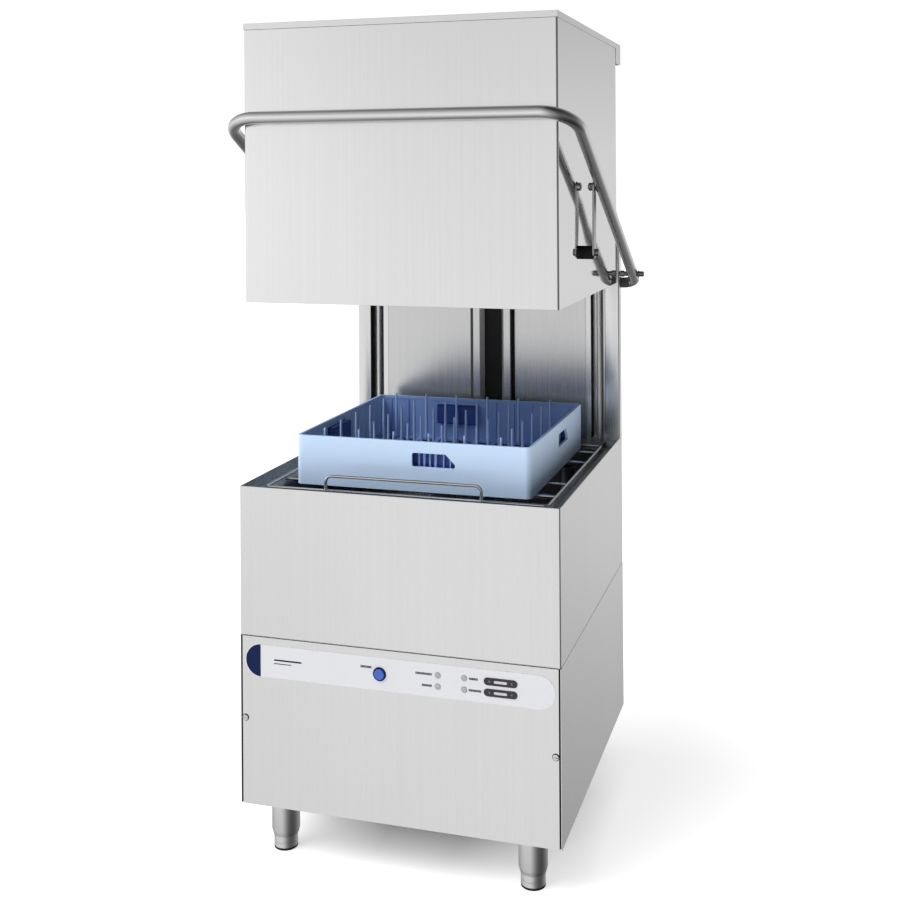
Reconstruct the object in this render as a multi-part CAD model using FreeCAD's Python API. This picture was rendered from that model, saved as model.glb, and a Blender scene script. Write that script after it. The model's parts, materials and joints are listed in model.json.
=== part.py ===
import FreeCAD, Part
import math
import os

from FreeCAD import Vector

# Hood-type commercial dishwasher for 500 mm racks, in millimetres.
# While the parts are drawn, Y is 0 at the machine's front face and grows to
# the rear, X is 0 on the machine's middle plane and Z is 0 on the floor.
# save() moves every part by -Y_MID, so the origin ends on the floor, below
# the middle of the machine's overall box.

# ---------------------------------------------------------------- driving sizes
WIDTH = 660.0            # body, across the side panels
DEPTH = 685.0            # body, front face to rear face
HALF = WIDTH / 2
SHEET = 1.5              # stainless sheet
CASING_BEND = 3.0        # outer radius of the bent front corners
HOOD_BEND = 4.5
BASE_Z = 105.0           # lower edge of the panels
SEAM_Z = 445.0           # joint between the lower panels and the tank casing
RIM_Z = 744.0            # upper edge of the tank casing
LEDGE_Z = 724.0          # gutter inside the rim, where the rack guide rests
COLUMN_TOP = 1235.0
COLUMN_Y = 655.0         # front face of the columns and the rear walls
SIDE_IN = HALF - SHEET   # inner face of the side skins
REAR_IN = DEPTH - SHEET  # inner face of the rear skins

HOOD_HALF = 325.8        # half the hood's width
HOOD_FRONT = 22.0
HOOD_REAR = 650.0
HOOD_Z = 1112.0          # lower edge of the raised hood
HOOD_TOP = 1665.0
CAP_TOP = 1678.0
CAP_REAR = 714.0
CAP_BOX_Z = 1630.0       # lower edge of the cap's rear box
HOOD_TRAVEL = 384.0

ARM_X = 361.0            # middle plane of the handle's side tubes
TUBE_R = 12.5
TUBE_WALL = 1.5
PIVOT_Y = 668.0          # handle pivot on the column's side
PIVOT_Z = 1132.5
ARM_SLOPE = 27.8         # degrees, raised handle
BAR_REACH = 757.0        # pivot to the front bar, along the arm
TAIL_REACH = 54.0        # pivot to the inward leg behind the column
ARM_PIN_REACH = 450.0    # pivot to the link's upper pin
TAIL_END_X = 296.0
FRONT_BEND = 70.0
TAIL_BEND = 31.0
HOOD_PIN_Y = 266.0
HOOD_PIN_Z = 1206.5

ROD_X = 279.5            # guide rods, in the columns' channels
ROD_Y = 669.0
ROD_R = 6.0

WASH_Y = 345.0           # spindle of the wash and rinse arms
SPINDLE_R = 8.0
RUNNING = 0.05           # radial clearance of the running fits

RACK = 500.0             # standard square rack
RACK_H = 101.0
RACK_Y = 100.0
RACK_Z = 731.0

FOOT_X = 259.5
FOOT_Y = (60.0, 625.0)
SLEEVE_R = 28.5
INSERT_R = 24.2
STEM_R = 6.0

BASIN_Z = 600.0          # basin floor
SUMP_Z = 470.0
SUMP_X = 150.0
SUMP_Y = (200.0, 500.0)
WELL_X = 225.0           # drain well, in the basin's rear right corner
WELL_Y = 548.0
WELL_Z = 572.0
WELL_R = 32.0
DECK_Z = 737.0           # rear deck, under the columns

SUCTION_X = -85.0        # hose from the sump to the pump
SUCTION_Y = 280.0
PUMP_X = -165.0
PUMP_Z = 290.0
BOILER_X = 222.0
BOILER_Z = 262.0
BOILER_R = 92.0
RISER_X = 20.0           # wash riser, inside the mast
RISER_Y = 669.5
RINSE_X = 46.0
MAST_X = 23.5            # the mast stands off the middle
MAST_HALF = 46.0
INLET_X = -180.0
INLET_Z = 200.0
INLET_R = 13.2           # G 3/4 thread
DRAIN_X = 225.0
DRAIN_Z = 160.0
GLAND_X = -250.0
GLAND_Z = 160.0

UPPER_WASH_Z = 1165.0    # undersides of the arms and their nuts
UPPER_RINSE_Z = 1147.0
UPPER_NUT_Z = 1136.0
LOWER_WASH_Z = 662.0
LOWER_RINSE_Z = 685.0
LOWER_NUT_Z = 702.0
JETS = (70.0, 120.0, 170.0, 220.0)

SPRING_X = 312.0
SPRING_FOOT = 820.0
LINK_X = 346.2           # middle plane of the links
LINK_W = 11.0            # half width of the links
WIRE_R = 3.0             # rack guide
PEG_H = 108.0
PEG_PITCH = 76.0
PEG_ROW = 88.0

LABEL_Z = 397.0          # middle of the control label
LABEL_HALF = 319.0
LABEL_R = 32.0
LAMPS = ((88.0, 407.5), (88.0, 386.0), (141.0, 408.0), (141.0, 386.0))
DISPLAYS = ((213.0, 407.0), (213.0, 386.0))
BUTTON_X = -31.0
SCREW_X = 319.0
SCREW_Z = 279.0
BUTTON_R = 10.5
DISPLAY_HALF = 33.0
DISPLAY_R = 7.2

SLOPE = math.radians(ARM_SLOPE)
BAR_Y = PIVOT_Y - BAR_REACH * math.cos(SLOPE)
BAR_Z = PIVOT_Z + BAR_REACH * math.sin(SLOPE)
TAIL_Y = PIVOT_Y + TAIL_REACH * math.cos(SLOPE)
TAIL_Z = PIVOT_Z - TAIL_REACH * math.sin(SLOPE)
PIN_Y = PIVOT_Y - ARM_PIN_REACH * math.cos(SLOPE)
PIN_Z = PIVOT_Z + ARM_PIN_REACH * math.sin(SLOPE)
Y_MID = (BAR_Y - TUBE_R + TAIL_Y + TUBE_R) / 2

X_AXIS = Vector(1, 0, 0)
Y_AXIS = Vector(0, 1, 0)
Z_AXIS = Vector(0, 0, 1)


# ---------------------------------------------------------------- shape helpers
def save(name, shape):
    """Write one sub-part, moved into the machine's own frame."""
    moved = shape.copy()
    moved.translate(Vector(0, -Y_MID, 0))
    if not moved.isValid():
        print("not valid:", name)
    moved.exportStep("parts/" + name + ".step")


def box(x0, y0, z0, x1, y1, z1):
    """A block between two corners."""
    return Part.makeBox(x1 - x0, y1 - y0, z1 - z0, Vector(x0, y0, z0))


def rod(x, y, z, axis, radius, length):
    """A cylinder that starts at a point and runs along an axis."""
    return Part.makeCylinder(radius, length, Vector(x, y, z), axis)


def ring(x, y, z, axis, outer, inner, length):
    """A tube with straight ends."""
    start = Vector(x, y, z) - axis
    hole = Part.makeCylinder(inner, length + 2, start, axis)
    return rod(x, y, z, axis, outer, length).cut(hole)


def join(shapes):
    """One solid from shapes that touch or overlap."""
    result = shapes[0]
    for shape in shapes[1:]:
        result = result.fuse(shape)
    return result.removeSplitter()


def group(shapes):
    """Separate solids that share one node."""
    return Part.makeCompound(shapes)


def mirror_x(shape):
    """The same shape on the machine's other side."""
    return shape.mirror(Vector(0, 0, 0), X_AXIS)


def both(shape):
    """A shape and its mirror image, as two solids."""
    return group([shape, mirror_x(shape)])


def prism(points, z0, z1):
    """An outline of (x, y) points, drawn upwards from z0 to z1."""
    corners = [Vector(x, y, z0) for x, y in points]
    outline = Part.makePolygon(corners + [corners[0]])
    return Part.Face(outline).extrude(Vector(0, 0, z1 - z0))


def route(points, bends):
    """A wire through points, with an arc of its own radius at each corner."""
    edges = []
    start = points[0]
    for before, corner, after, radius in zip(points, points[1:], points[2:], bends):
        inward = (corner - before).normalize()
        outward = (after - corner).normalize()
        half_turn = inward.getAngle(outward) / 2
        cut = radius * math.tan(half_turn)
        first = corner - inward * cut
        last = corner + outward * cut
        centre_way = (outward - inward).normalize()
        centre = corner + centre_way * (radius / math.cos(half_turn))
        middle = centre - centre_way * radius
        edges.append(Part.LineSegment(start, first).toShape())
        edges.append(Part.Arc(first, middle, last).toShape())
        start = last
    edges.append(Part.LineSegment(start, points[-1]).toShape())
    return Part.Wire(edges)


def pipe(points, bends, radius):
    """A round bar along a route."""
    path = route(points, bends)
    way = points[1] - points[0]
    circle = Part.Circle(points[0], way, radius).toShape()
    return path.makePipeShell([Part.Wire(circle)], True, True)


def tube(points, bends, radius, wall):
    """A hollow pipe along a route."""
    return pipe(points, bends, radius).cut(pipe(points, bends, radius - wall))


def rounded(shape, axis, radius):
    """A block whose edges along one axis are rounded."""
    edges = []
    for edge in shape.Edges:
        way = edge.tangentAt(edge.FirstParameter)
        if abs(abs(way.dot(axis)) - 1) < 1e-6:
            edges.append(edge)
    return shape.makeFillet(radius, edges)


def pill(x, z, y, half, radius, thick):
    """A flat plate with round ends, standing in the X-Z plane."""
    middle = box(x - half + radius, y, z - radius, x + half - radius, y + thick, z + radius)
    left = rod(x - half + radius, y, z, Y_AXIS, radius, thick)
    right = rod(x + half - radius, y, z, Y_AXIS, radius, thick)
    return join([middle, left, right])


def hexagon(x, y, z, axis, across, length):
    """A hexagonal nut or bolt head."""
    corner = across / math.sqrt(3)
    side = Z_AXIS
    if abs(axis.dot(Z_AXIS)) > 0.5:
        side = X_AXIS
    other = axis.cross(side)
    points = []
    for i in range(7):
        angle = math.radians(60 * i)
        points.append(Vector(x, y, z) + side * (corner * math.cos(angle)) + other * (corner * math.sin(angle)))
    return Part.Face(Part.makePolygon(points)).extrude(axis * length)


# ---------------------------------------------------------------- lower body
def chassis():
    """Folded floor tray with four corner posts and a boss over each foot."""
    x = SIDE_IN - 1.0
    tray = box(-x, 18, BASE_Z + 2, x, REAR_IN - 1, BASE_Z + 4)
    hollow = box(-x + 2, 20, BASE_Z + 3, x - 2, REAR_IN - 3, BASE_Z + 40)
    lip = box(-x, 18, BASE_Z + 2, x, REAR_IN - 1, BASE_Z + 24).cut(hollow)
    parts = [tray, lip]
    for side in (-1, 1):
        for front in (True, False):
            y0 = 18.0 if front else REAR_IN - 31
            inner = box(-30, y0 + (2 if front else -1), BASE_Z + 3, -2, y0 + (31 if front else 28), SEAM_Z)
            post = box(-30, y0, BASE_Z + 3, 0, y0 + 30, SEAM_Z - 3).cut(inner)
            post.translate(Vector(x, 0, 0))
            parts.append(post if side > 0 else mirror_x(post))
    for foot_x, foot_y in feet():
        parts.append(rod(foot_x, foot_y, BASE_Z + 1, Z_AXIS, 22, 8))
    body = join(parts)
    for foot_x, foot_y in feet():
        body = body.cut(rod(foot_x, foot_y, BASE_Z, Z_AXIS, STEM_R + RUNNING, 12))
    return body


def feet():
    """The places of the four feet."""
    return [(x, y) for y in FOOT_Y for x in (-FOOT_X, FOOT_X)]


def foot_sleeves():
    """Four steel sleeves, drawn in to a cone at their lower ends."""
    sleeves = []
    for x, y in feet():
        wall = rod(x, y, 39, Z_AXIS, SLEEVE_R, BASE_Z - 39 + 1)
        cone = Part.makeCone(INSERT_R + 1.2, SLEEVE_R, 11, Vector(x, y, 28), Z_AXIS)
        bore = rod(x, y, 27, Z_AXIS, INSERT_R + 0.5, 62)
        stem_hole = rod(x, y, 60, Z_AXIS, STEM_R + RUNNING, 60)
        sleeves.append(join([wall, cone]).cut(bore).cut(stem_hole))
    return group(sleeves)


def foot_insert(x, y):
    """A screwed insert with a rubber-soled end, for levelling."""
    body = rod(x, y, 0, Z_AXIS, INSERT_R, 50)
    body = body.makeFillet(2.5, [body.Edges[2]])
    stem = rod(x, y, 49, Z_AXIS, STEM_R, 91)
    return join([body, stem])


def side_panels():
    """Lower side panels, with returns at the bottom and the rear."""
    skin = box(SIDE_IN, 0, BASE_Z, HALF, DEPTH - SHEET - 0.5, SEAM_Z - 1)
    foot = box(SIDE_IN - 14, 18, BASE_Z, SIDE_IN + 0.5, REAR_IN - 1, BASE_Z + SHEET)
    foot = foot.cut(box(FOOT_X - 30, 25, 0, FOOT_X + 30, 95, 200))
    return both(join([skin, foot]))


def rear_panel():
    """Lower rear panel, with openings for water, drain and cable."""
    panel = box(-HALF, REAR_IN, BASE_Z + 2, HALF, DEPTH, SEAM_Z - 1)
    panel = panel.cut(rod(INLET_X, REAR_IN - 2, INLET_Z, Y_AXIS, 17, 6))
    panel = panel.cut(rod(DRAIN_X, REAR_IN - 2, DRAIN_Z, Y_AXIS, 23, 6))
    panel = panel.cut(rod(GLAND_X, REAR_IN - 2, GLAND_Z, Y_AXIS, 10.2, 6))
    for row in range(6):
        z = 330 + 14 * row
        slot = box(-60, REAR_IN - 1, z, 60, DEPTH + 1, z + 4)
        panel = panel.cut(slot)
    return panel


def tank_casing():
    """Upper casing wrapped round the tank: front, sides and rear sheet."""
    z0 = SEAM_Z + 1
    outer = box(-HALF, 0, z0, HALF, REAR_IN - 0.2, RIM_Z)
    inner = box(-SIDE_IN, SHEET, z0 - 1, SIDE_IN, DEPTH, RIM_Z + 1)
    wrap = rounded_front(outer, CASING_BEND).cut(rounded_front(inner, CASING_BEND - SHEET))
    back = box(-HALF + 2, REAR_IN, z0, HALF - 2, DEPTH, RIM_Z - 6)
    return group([wrap, back])


def rounded_front(shape, radius):
    """A block whose two upright front edges are rounded, as where a sheet is bent."""
    front = shape.BoundBox.YMin
    edges = []
    for edge in shape.Edges:
        box_of = edge.BoundBox
        if box_of.ZLength > 1 and box_of.YMax < front + 0.01:
            edges.append(edge)
    return shape.makeFillet(radius, edges)


def bent_corner(shape, x, y, radius):
    """A sheet part whose upright edge at one corner is rounded."""
    edges = []
    for edge in shape.Edges:
        box_of = edge.BoundBox
        if box_of.ZLength > 1 and abs(box_of.Center.x - x) < 0.01 and abs(box_of.Center.y - y) < 0.01:
            edges.append(edge)
    return shape.makeFillet(radius, edges)


def tank():
    """Gutter ledge, wash basin and sump, with the rear deck."""
    x_in = 285.0
    y0 = 72.0
    y1 = 608.0
    gap = 0.6
    ledge = box(-SIDE_IN + gap, SHEET + gap, LEDGE_Z - SHEET, SIDE_IN - gap, COLUMN_Y, LEDGE_Z)
    basin = box(-x_in, y0, BASIN_Z - SHEET, x_in, y1, LEDGE_Z)
    sump = box(-SUMP_X, SUMP_Y[0], SUMP_Z, SUMP_X, SUMP_Y[1], BASIN_Z)
    well = rod(WELL_X, WELL_Y, WELL_Z, Z_AXIS, WELL_R, BASIN_Z - WELL_Z)
    shell = join([ledge, basin, sump, well])
    shell = shell.cut(box(-x_in + SHEET, y0 + SHEET, BASIN_Z, x_in - SHEET, y1 - SHEET, LEDGE_Z + 1))
    shell = shell.cut(box(-SUMP_X + SHEET, SUMP_Y[0] + SHEET, SUMP_Z + SHEET,
                          SUMP_X - SHEET, SUMP_Y[1] - SHEET, BASIN_Z + 1))
    shell = shell.cut(rod(WELL_X, WELL_Y, WELL_Z + SHEET, Z_AXIS, WELL_R - SHEET, 60))
    shell = shell.cut(rod(WELL_X, WELL_Y, WELL_Z - 1, Z_AXIS, 18, 10))
    shell = shell.cut(rod(0, WASH_Y, SUMP_Z - 1, Z_AXIS, 27, 10))
    shell = shell.cut(rod(SUCTION_X, SUCTION_Y, SUMP_Z - 1, Z_AXIS, 19, 10))
    for x in (60, 125):
        shell = shell.cut(rod(x, SUMP_Y[1] - 5, 520, Y_AXIS, 4.4, 10))
    deck = join([
        box(-297, 612, LEDGE_Z, 297, 613.5, DECK_Z),
        box(-297, 612, DECK_Z, 297, COLUMN_Y + 2, DECK_Z + SHEET),
        box(-SIDE_IN + gap, COLUMN_Y - 1, DECK_Z, SIDE_IN - gap, REAR_IN - 1, DECK_Z + SHEET),
        box(-SIDE_IN + gap, COLUMN_Y - 1, LEDGE_Z - SHEET, SIDE_IN - gap, COLUMN_Y + 0.5, DECK_Z + SHEET),
        box(295.5, 612, LEDGE_Z, 297, COLUMN_Y, DECK_Z + SHEET),
        box(-297, 612, LEDGE_Z, -295.5, COLUMN_Y, DECK_Z + SHEET),
    ])
    shell = join([shell, deck])
    shell = shell.cut(rod(RISER_X, RISER_Y, DECK_Z - 5, Z_AXIS, 14.6, 20))
    return shell.cut(rod(RINSE_X, RISER_Y, DECK_Z - 5, Z_AXIS, 5.6, 20))


# ---------------------------------------------------------------- rear frame
def columns():
    """Folded side columns with an open channel for the guide rod."""
    z0 = DECK_Z + SHEET + 0.2
    z1 = COLUMN_TOP - SHEET
    y0 = COLUMN_Y
    y1 = REAR_IN - 0.3
    outline = [
        (HALF, y1), (SIDE_IN, y1), (SIDE_IN, y0 + SHEET), (298.5, y0 + SHEET), (298.5, y1 - 1),
        (249, y1 - 1), (249, y1 - 2.5), (260.5, y1 - 2.5), (260.5, y0 + SHEET), (250, y0 + SHEET),
        (250, y0), (262, y0), (262, y1 - 2.5), (297, y1 - 2.5), (297, y0), (HALF, y0),
    ]
    column = bent_corner(prism(outline, z0, z1), HALF, y0, 3)
    column = bent_corner(column, SIDE_IN, y0 + SHEET, 3 - SHEET)
    column = column.cut(rod(SIDE_IN - 5, PIVOT_Y, PIVOT_Z, X_AXIS, 5.3, 20))
    column = column.cut(box(SIDE_IN - 0.6, 600, z0 - 1, HALF + 1, DEPTH, RIM_Z + 0.3))
    return both(column)


def guide_rods():
    """Two bright rods that guide the hood."""
    z0 = DECK_Z + SHEET
    return both(rod(ROD_X, ROD_Y, z0, Z_AXIS, ROD_R, COLUMN_TOP - SHEET - z0))


def rear_walls():
    """Splash walls between the columns and the central mast."""
    z0 = DECK_Z + SHEET + 0.2
    z1 = COLUMN_TOP - SHEET
    reach = MAST_HALF + 0.5
    left = box(-249.6, COLUMN_Y, z0, MAST_X - reach, COLUMN_Y + SHEET, z1)
    right = box(MAST_X + reach, COLUMN_Y, z0, 249.6, COLUMN_Y + SHEET, z1)
    return group([left, right])


def mast():
    """Central lipped channel that covers the riser pipes."""
    z0 = DECK_Z + SHEET + 0.2
    z1 = COLUMN_TOP - SHEET
    mid = MAST_X
    outline = [
        (MAST_HALF, 654.6), (MAST_HALF, 632), (30, 632), (21.6, 648), (21.6, 654.6), (23.1, 654.6),
        (23.1, 648.4), (30.9, 633.5), (MAST_HALF - SHEET, 633.5), (MAST_HALF - SHEET, 654.6),
    ]
    right = prism([(mid + x, y) for x, y in outline], z0, z1)
    left = prism([(mid - x, y) for x, y in outline], z0, z1)
    tie = box(mid - MAST_HALF, 653.1, z0, mid + MAST_HALF, 654.6, z0 + 25)
    return join([left, right, tie])


def rear_cover():
    """Full-width rear cover, folded over the top, with the spring anchors."""
    z0 = RIM_Z - 5
    skin = box(-HALF, REAR_IN, z0, HALF, DEPTH, COLUMN_TOP)
    fold = box(-HALF, COLUMN_Y, COLUMN_TOP - SHEET, HALF, DEPTH, COLUMN_TOP)
    parts = [skin, fold]
    for x in (-SPRING_X, SPRING_X):
        plate = box(x - 14, DEPTH - 0.5, SPRING_FOOT - 20, x + 14, DEPTH + 2, SPRING_FOOT + 20)
        arm = box(x - 2, DEPTH, SPRING_FOOT - 12, x + 2, TAIL_Y + 8, SPRING_FOOT)
        parts += [plate, arm.cut(rod(x - 5, TAIL_Y, SPRING_FOOT - 6, X_AXIS, 3, 10))]
    return join(parts)


def spring(x):
    """One extension spring between the rear cover and the handle's tail."""
    z0 = SPRING_FOOT + 1
    z1 = TAIL_Z - TUBE_R - 1
    return ring(x, TAIL_Y, z0, Z_AXIS, 10, 7, z1 - z0)


# ---------------------------------------------------------------- water circuit
def riser_pipes():
    """Wash and rinse pipes that climb the mast and reach the upper hub."""
    wash_path = [Vector(RISER_X, 400, 430), Vector(RISER_X, RISER_Y, 430), Vector(RISER_X, RISER_Y, 1200),
                 Vector(0, WASH_Y + 24.8, 1200)]
    wash = tube(wash_path, [40, 30], 13.5, 1.2)
    rinse_path = [Vector(RINSE_X, RISER_Y, 300), Vector(RINSE_X, RISER_Y, 1222), Vector(RISER_X, RISER_Y - 10, 1222),
                  Vector(0, WASH_Y + 24.8, 1222)]
    rinse = tube(rinse_path, [12, 12], 5, 1)
    return group([wash, rinse])


def upper_hub():
    """Fixed head over the rack, with the spindle of the upper arms."""
    body = rod(0, WASH_Y, 1184, Z_AXIS, 24, 46)
    spindle = rod(0, WASH_Y, 1134, Z_AXIS, SPINDLE_R, 52)
    return join([body, spindle])


def lower_hub():
    """Stand in the middle of the tank, with the spindle of the lower arms."""
    body = rod(0, WASH_Y, SUMP_Z - 8, Z_AXIS, 25, 655 - SUMP_Z + 8)
    flange = rod(0, WASH_Y, SUMP_Z + SHEET, Z_AXIS, 38, 3)
    spindle = rod(0, WASH_Y, 650, Z_AXIS, SPINDLE_R, 62)
    return join([body, flange, spindle])


def wash_arm(z, down):
    """Flat-sided wash arm with a hub ring and a row of jets on each side."""
    bar = rounded(box(-242, WASH_Y - 18, z, 242, WASH_Y + 18, z + 14), Z_AXIS, 17)
    hub = rod(0, WASH_Y, z - 4, Z_AXIS, 32, 22)
    parts = [bar, hub]
    jet_z = z - 3 if down else z + 14
    for x in JETS:
        for side in (-1, 1):
            parts.append(rod(side * x, WASH_Y + side * 5, jet_z, Z_AXIS, 6, 3))
    bore = rod(0, WASH_Y, z - 20, Z_AXIS, SPINDLE_R + RUNNING, 60)
    return join(parts).cut(bore)


def rinse_arm(z, down):
    """Slim round rinse arm with fan jets."""
    tube_z = z + 6
    parts = [rod(0, WASH_Y - 225, tube_z, Y_AXIS, 6, 450), rod(0, WASH_Y, z, Z_AXIS, 18, 12)]
    jet_z = z - 1.5 if down else z + 11
    for y in JETS[:3]:
        for side in (-1, 1):
            parts.append(rod(0, WASH_Y + side * y, jet_z, Z_AXIS, 4, 2.5))
    bore = rod(0, WASH_Y, z - 20, Z_AXIS, SPINDLE_R + RUNNING, 60)
    return join(parts).cut(bore)


def arm_nuts():
    """Knurled nuts that hold the arms on their spindles."""
    nuts = []
    for z in (UPPER_NUT_Z, LOWER_NUT_Z):
        nut = rod(0, WASH_Y, z, Z_AXIS, 15, 7)
        for i in range(10):
            angle = math.radians(36 * i)
            nut = nut.cut(rod(16 * math.cos(angle), WASH_Y + 16 * math.sin(angle), z - 1, Z_AXIS, 2.5, 9))
        nuts.append(nut.cut(rod(0, WASH_Y, z - 1, Z_AXIS, SPINDLE_R, 9)))
    return group(nuts)


def tank_filter():
    """Lift-out strainer plate over the sump, with a grip on each side."""
    z = BASIN_Z + 0.6
    plate = box(-SUMP_X - 12, SUMP_Y[0] - 12, z, SUMP_X + 12, SUMP_Y[1] + 12, z + 2)
    plate = plate.cut(rod(0, WASH_Y, z - 1, Z_AXIS, 28, 6))
    for row in range(9):
        for column in range(9):
            x = -128 + 32 * column
            y = 224 + 31.5 * row
            if math.hypot(x, y - WASH_Y) > 44:
                plate = plate.cut(rod(x, y, z - 1, Z_AXIS, 5, 6))
    grips = [box(side * 120 - 20, WASH_Y - 2, z + 1, side * 120 + 20, WASH_Y, z + 16) for side in (-1, 1)]
    return join([plate] + grips)


def overflow_pipe():
    """Standpipe in the drain well: lifting it empties the tank."""
    pipe_part = ring(WELL_X, WELL_Y, WELL_Z + SHEET + 0.5, Z_AXIS, 17, 15, 122)
    collar = ring(WELL_X, WELL_Y, WELL_Z + SHEET + 0.5, Z_AXIS, 24, 15, 6)
    return join([pipe_part, collar])


def tank_heater():
    """U-shaped element along the sump's right side, on a rear flange."""
    y = SUMP_Y[1]
    path = [Vector(x, y_at, 520) for x, y_at in ((60, y + 2), (60, 240), (125, 240), (125, y + 2))]
    element = pipe(path, [28, 28], 4.2)
    flange = box(45, y + 0.1, 500, 140, y + 4, 540)
    return join([element, flange])


def pump_housing():
    """Volute of the wash pump, with its outlet pointing up."""
    x = PUMP_X
    shell = rod(x, WASH_Y, PUMP_Z, X_AXIS, 66, 50)
    outlet = rod(x + 25, WASH_Y, PUMP_Z + 50, Z_AXIS, 19, 40)
    inlet = rod(x - 25, WASH_Y, PUMP_Z, X_AXIS, 20, 30)
    body = join([shell, outlet, inlet])
    body = body.cut(rod(x + 4, WASH_Y, PUMP_Z, X_AXIS, 58, 42))
    body = body.cut(rod(x + 25, WASH_Y, PUMP_Z + 40, Z_AXIS, 15, 60))
    body = body.cut(rod(x - 26, WASH_Y, PUMP_Z, X_AXIS, 16, 40))
    return body.cut(rod(x + 40, WASH_Y, PUMP_Z, X_AXIS, 9, 20))


def impeller():
    """Pump wheel with curved-back blades, on the motor's shaft."""
    disc = rod(PUMP_X + 38, WASH_Y, PUMP_Z, X_AXIS, 50, 4)
    hub = rod(PUMP_X + 12, WASH_Y, PUMP_Z, X_AXIS, 14, 28)
    shaft = rod(PUMP_X + 38, WASH_Y, PUMP_Z, X_AXIS, 6, 40)
    parts = [disc, hub, shaft]
    for i in range(6):
        blade = box(PUMP_X + 14, WASH_Y + 10, PUMP_Z - 2, PUMP_X + 40, WASH_Y + 49, PUMP_Z + 2)
        blade.rotate(Vector(0, WASH_Y + 30, PUMP_Z), X_AXIS, 20)
        blade.rotate(Vector(0, WASH_Y, PUMP_Z), X_AXIS, 60 * i)
        parts.append(blade)
    return join(parts)


def pump_motor():
    """Finned motor behind the volute, with its terminal box and foot."""
    x0 = PUMP_X + 50.4
    body = rod(x0, WASH_Y, PUMP_Z, X_AXIS, 58, 165)
    fins = []
    for i in range(24):
        fin = box(x0 + 12, WASH_Y - 1.2, PUMP_Z + 50, x0 + 135, WASH_Y + 1.2, PUMP_Z + 65)
        fin.rotate(Vector(0, WASH_Y, PUMP_Z), X_AXIS, 15 * i)
        fins.append(fin)
    terminal = box(x0 + 50, WASH_Y - 30, PUMP_Z + 40, x0 + 120, WASH_Y + 30, PUMP_Z + 88)
    legs = [box(x0 + 30, WASH_Y + side * 40 - 4, BASE_Z + 4.5, x0 + 130, WASH_Y + side * 40 + 4, PUMP_Z)
            for side in (-1, 1)]
    motor = join([body, terminal] + fins + legs)
    return motor.cut(rod(x0 - 1, WASH_Y, PUMP_Z, X_AXIS, 6 + RUNNING, 40))


def suction_hose():
    """Hose from the sump to the pump's inlet."""
    start = PUMP_X - 26
    turn = start - 32
    path = [Vector(SUCTION_X, SUCTION_Y, SUMP_Z - 4), Vector(SUCTION_X, SUCTION_Y, 415),
            Vector(turn, SUCTION_Y, 415), Vector(turn, WASH_Y, PUMP_Z), Vector(start, WASH_Y, PUMP_Z)]
    return tube(path, [34, 30, 28], 20, 3)


def pressure_pipe():
    """Pipe from the pump to the lower hub, with the branch to the riser."""
    path = [Vector(PUMP_X + 25, WASH_Y, PUMP_Z + 91), Vector(PUMP_X + 25, WASH_Y, 430), Vector(-20, WASH_Y, 430)]
    feed = tube(path, [30], 17, 2)
    tee = rod(0, WASH_Y, 405, Z_AXIS, 28, 56).cut(rod(0, WASH_Y, 412, Z_AXIS, 22, 60))
    branch = ring(RISER_X, WASH_Y + 20, 430, Y_AXIS, 17, 14.1, 60)
    return join([feed, tee, branch.cut(rod(0, WASH_Y, 400, Z_AXIS, 25, 70))])


def boiler():
    """Rinse-water boiler with an insulated wall, lying along the right side."""
    outer = rod(BOILER_X, 95, BOILER_Z, Y_AXIS, BOILER_R, 400)
    inner = rod(BOILER_X, 99, BOILER_Z, Y_AXIS, BOILER_R - 4, 392)
    shell = outer.cut(inner).cut(rod(BOILER_X, 90, BOILER_Z, Y_AXIS, 32, 12))
    feet_parts = []
    for y in (150, 400):
        saddle = box(BOILER_X - 60, y, BASE_Z + 4.5, BOILER_X + 60, y + 4, BOILER_Z - 40)
        feet_parts.append(saddle.cut(rod(BOILER_X, y - 1, BOILER_Z, Y_AXIS, BOILER_R - 1, 8)))
    return join([shell] + feet_parts)


def boiler_heater():
    """Flanged element of the boiler, entered from the front."""
    flange = rod(BOILER_X, 89, BOILER_Z, Y_AXIS, 42, 5.8)
    parts = [flange]
    for side in (-1, 1):
        x = BOILER_X + side * 12
        path = [Vector(x, 90, BOILER_Z + 14), Vector(x, 400, BOILER_Z + 14), Vector(x, 400, BOILER_Z - 14),
                Vector(x, 90, BOILER_Z - 14)]
        parts.append(pipe(path, [13.5, 13.5], 4.2))
        parts.append(rod(x, 78, BOILER_Z + 14, Y_AXIS, 5, 12))
        parts.append(rod(x, 78, BOILER_Z - 14, Y_AXIS, 5, 12))
    return join(parts)


def solenoid_valve():
    """Water inlet valve, with the threaded stub behind the rear panel."""
    stub = rod(INLET_X, REAR_IN - 20, INLET_Z, Y_AXIS, INLET_R, 20 + SHEET + 28)
    locknut = hexagon(INLET_X, DEPTH + 0.3, INLET_Z, Y_AXIS, 36, 6)
    collar = hexagon(INLET_X, REAR_IN - 8, INLET_Z, Y_AXIS, 32, 8)
    body = box(INLET_X - 18, REAR_IN - 60, INLET_Z - 16, INLET_X + 18, REAR_IN - 18, INLET_Z + 16)
    coil = rod(INLET_X, REAR_IN - 40, INLET_Z + 10, Z_AXIS, 17, 50)
    hollow = rod(INLET_X, REAR_IN - 10, INLET_Z, Y_AXIS, 8, 60)
    return join([stub, body, coil, collar, locknut]).cut(hollow)


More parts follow.
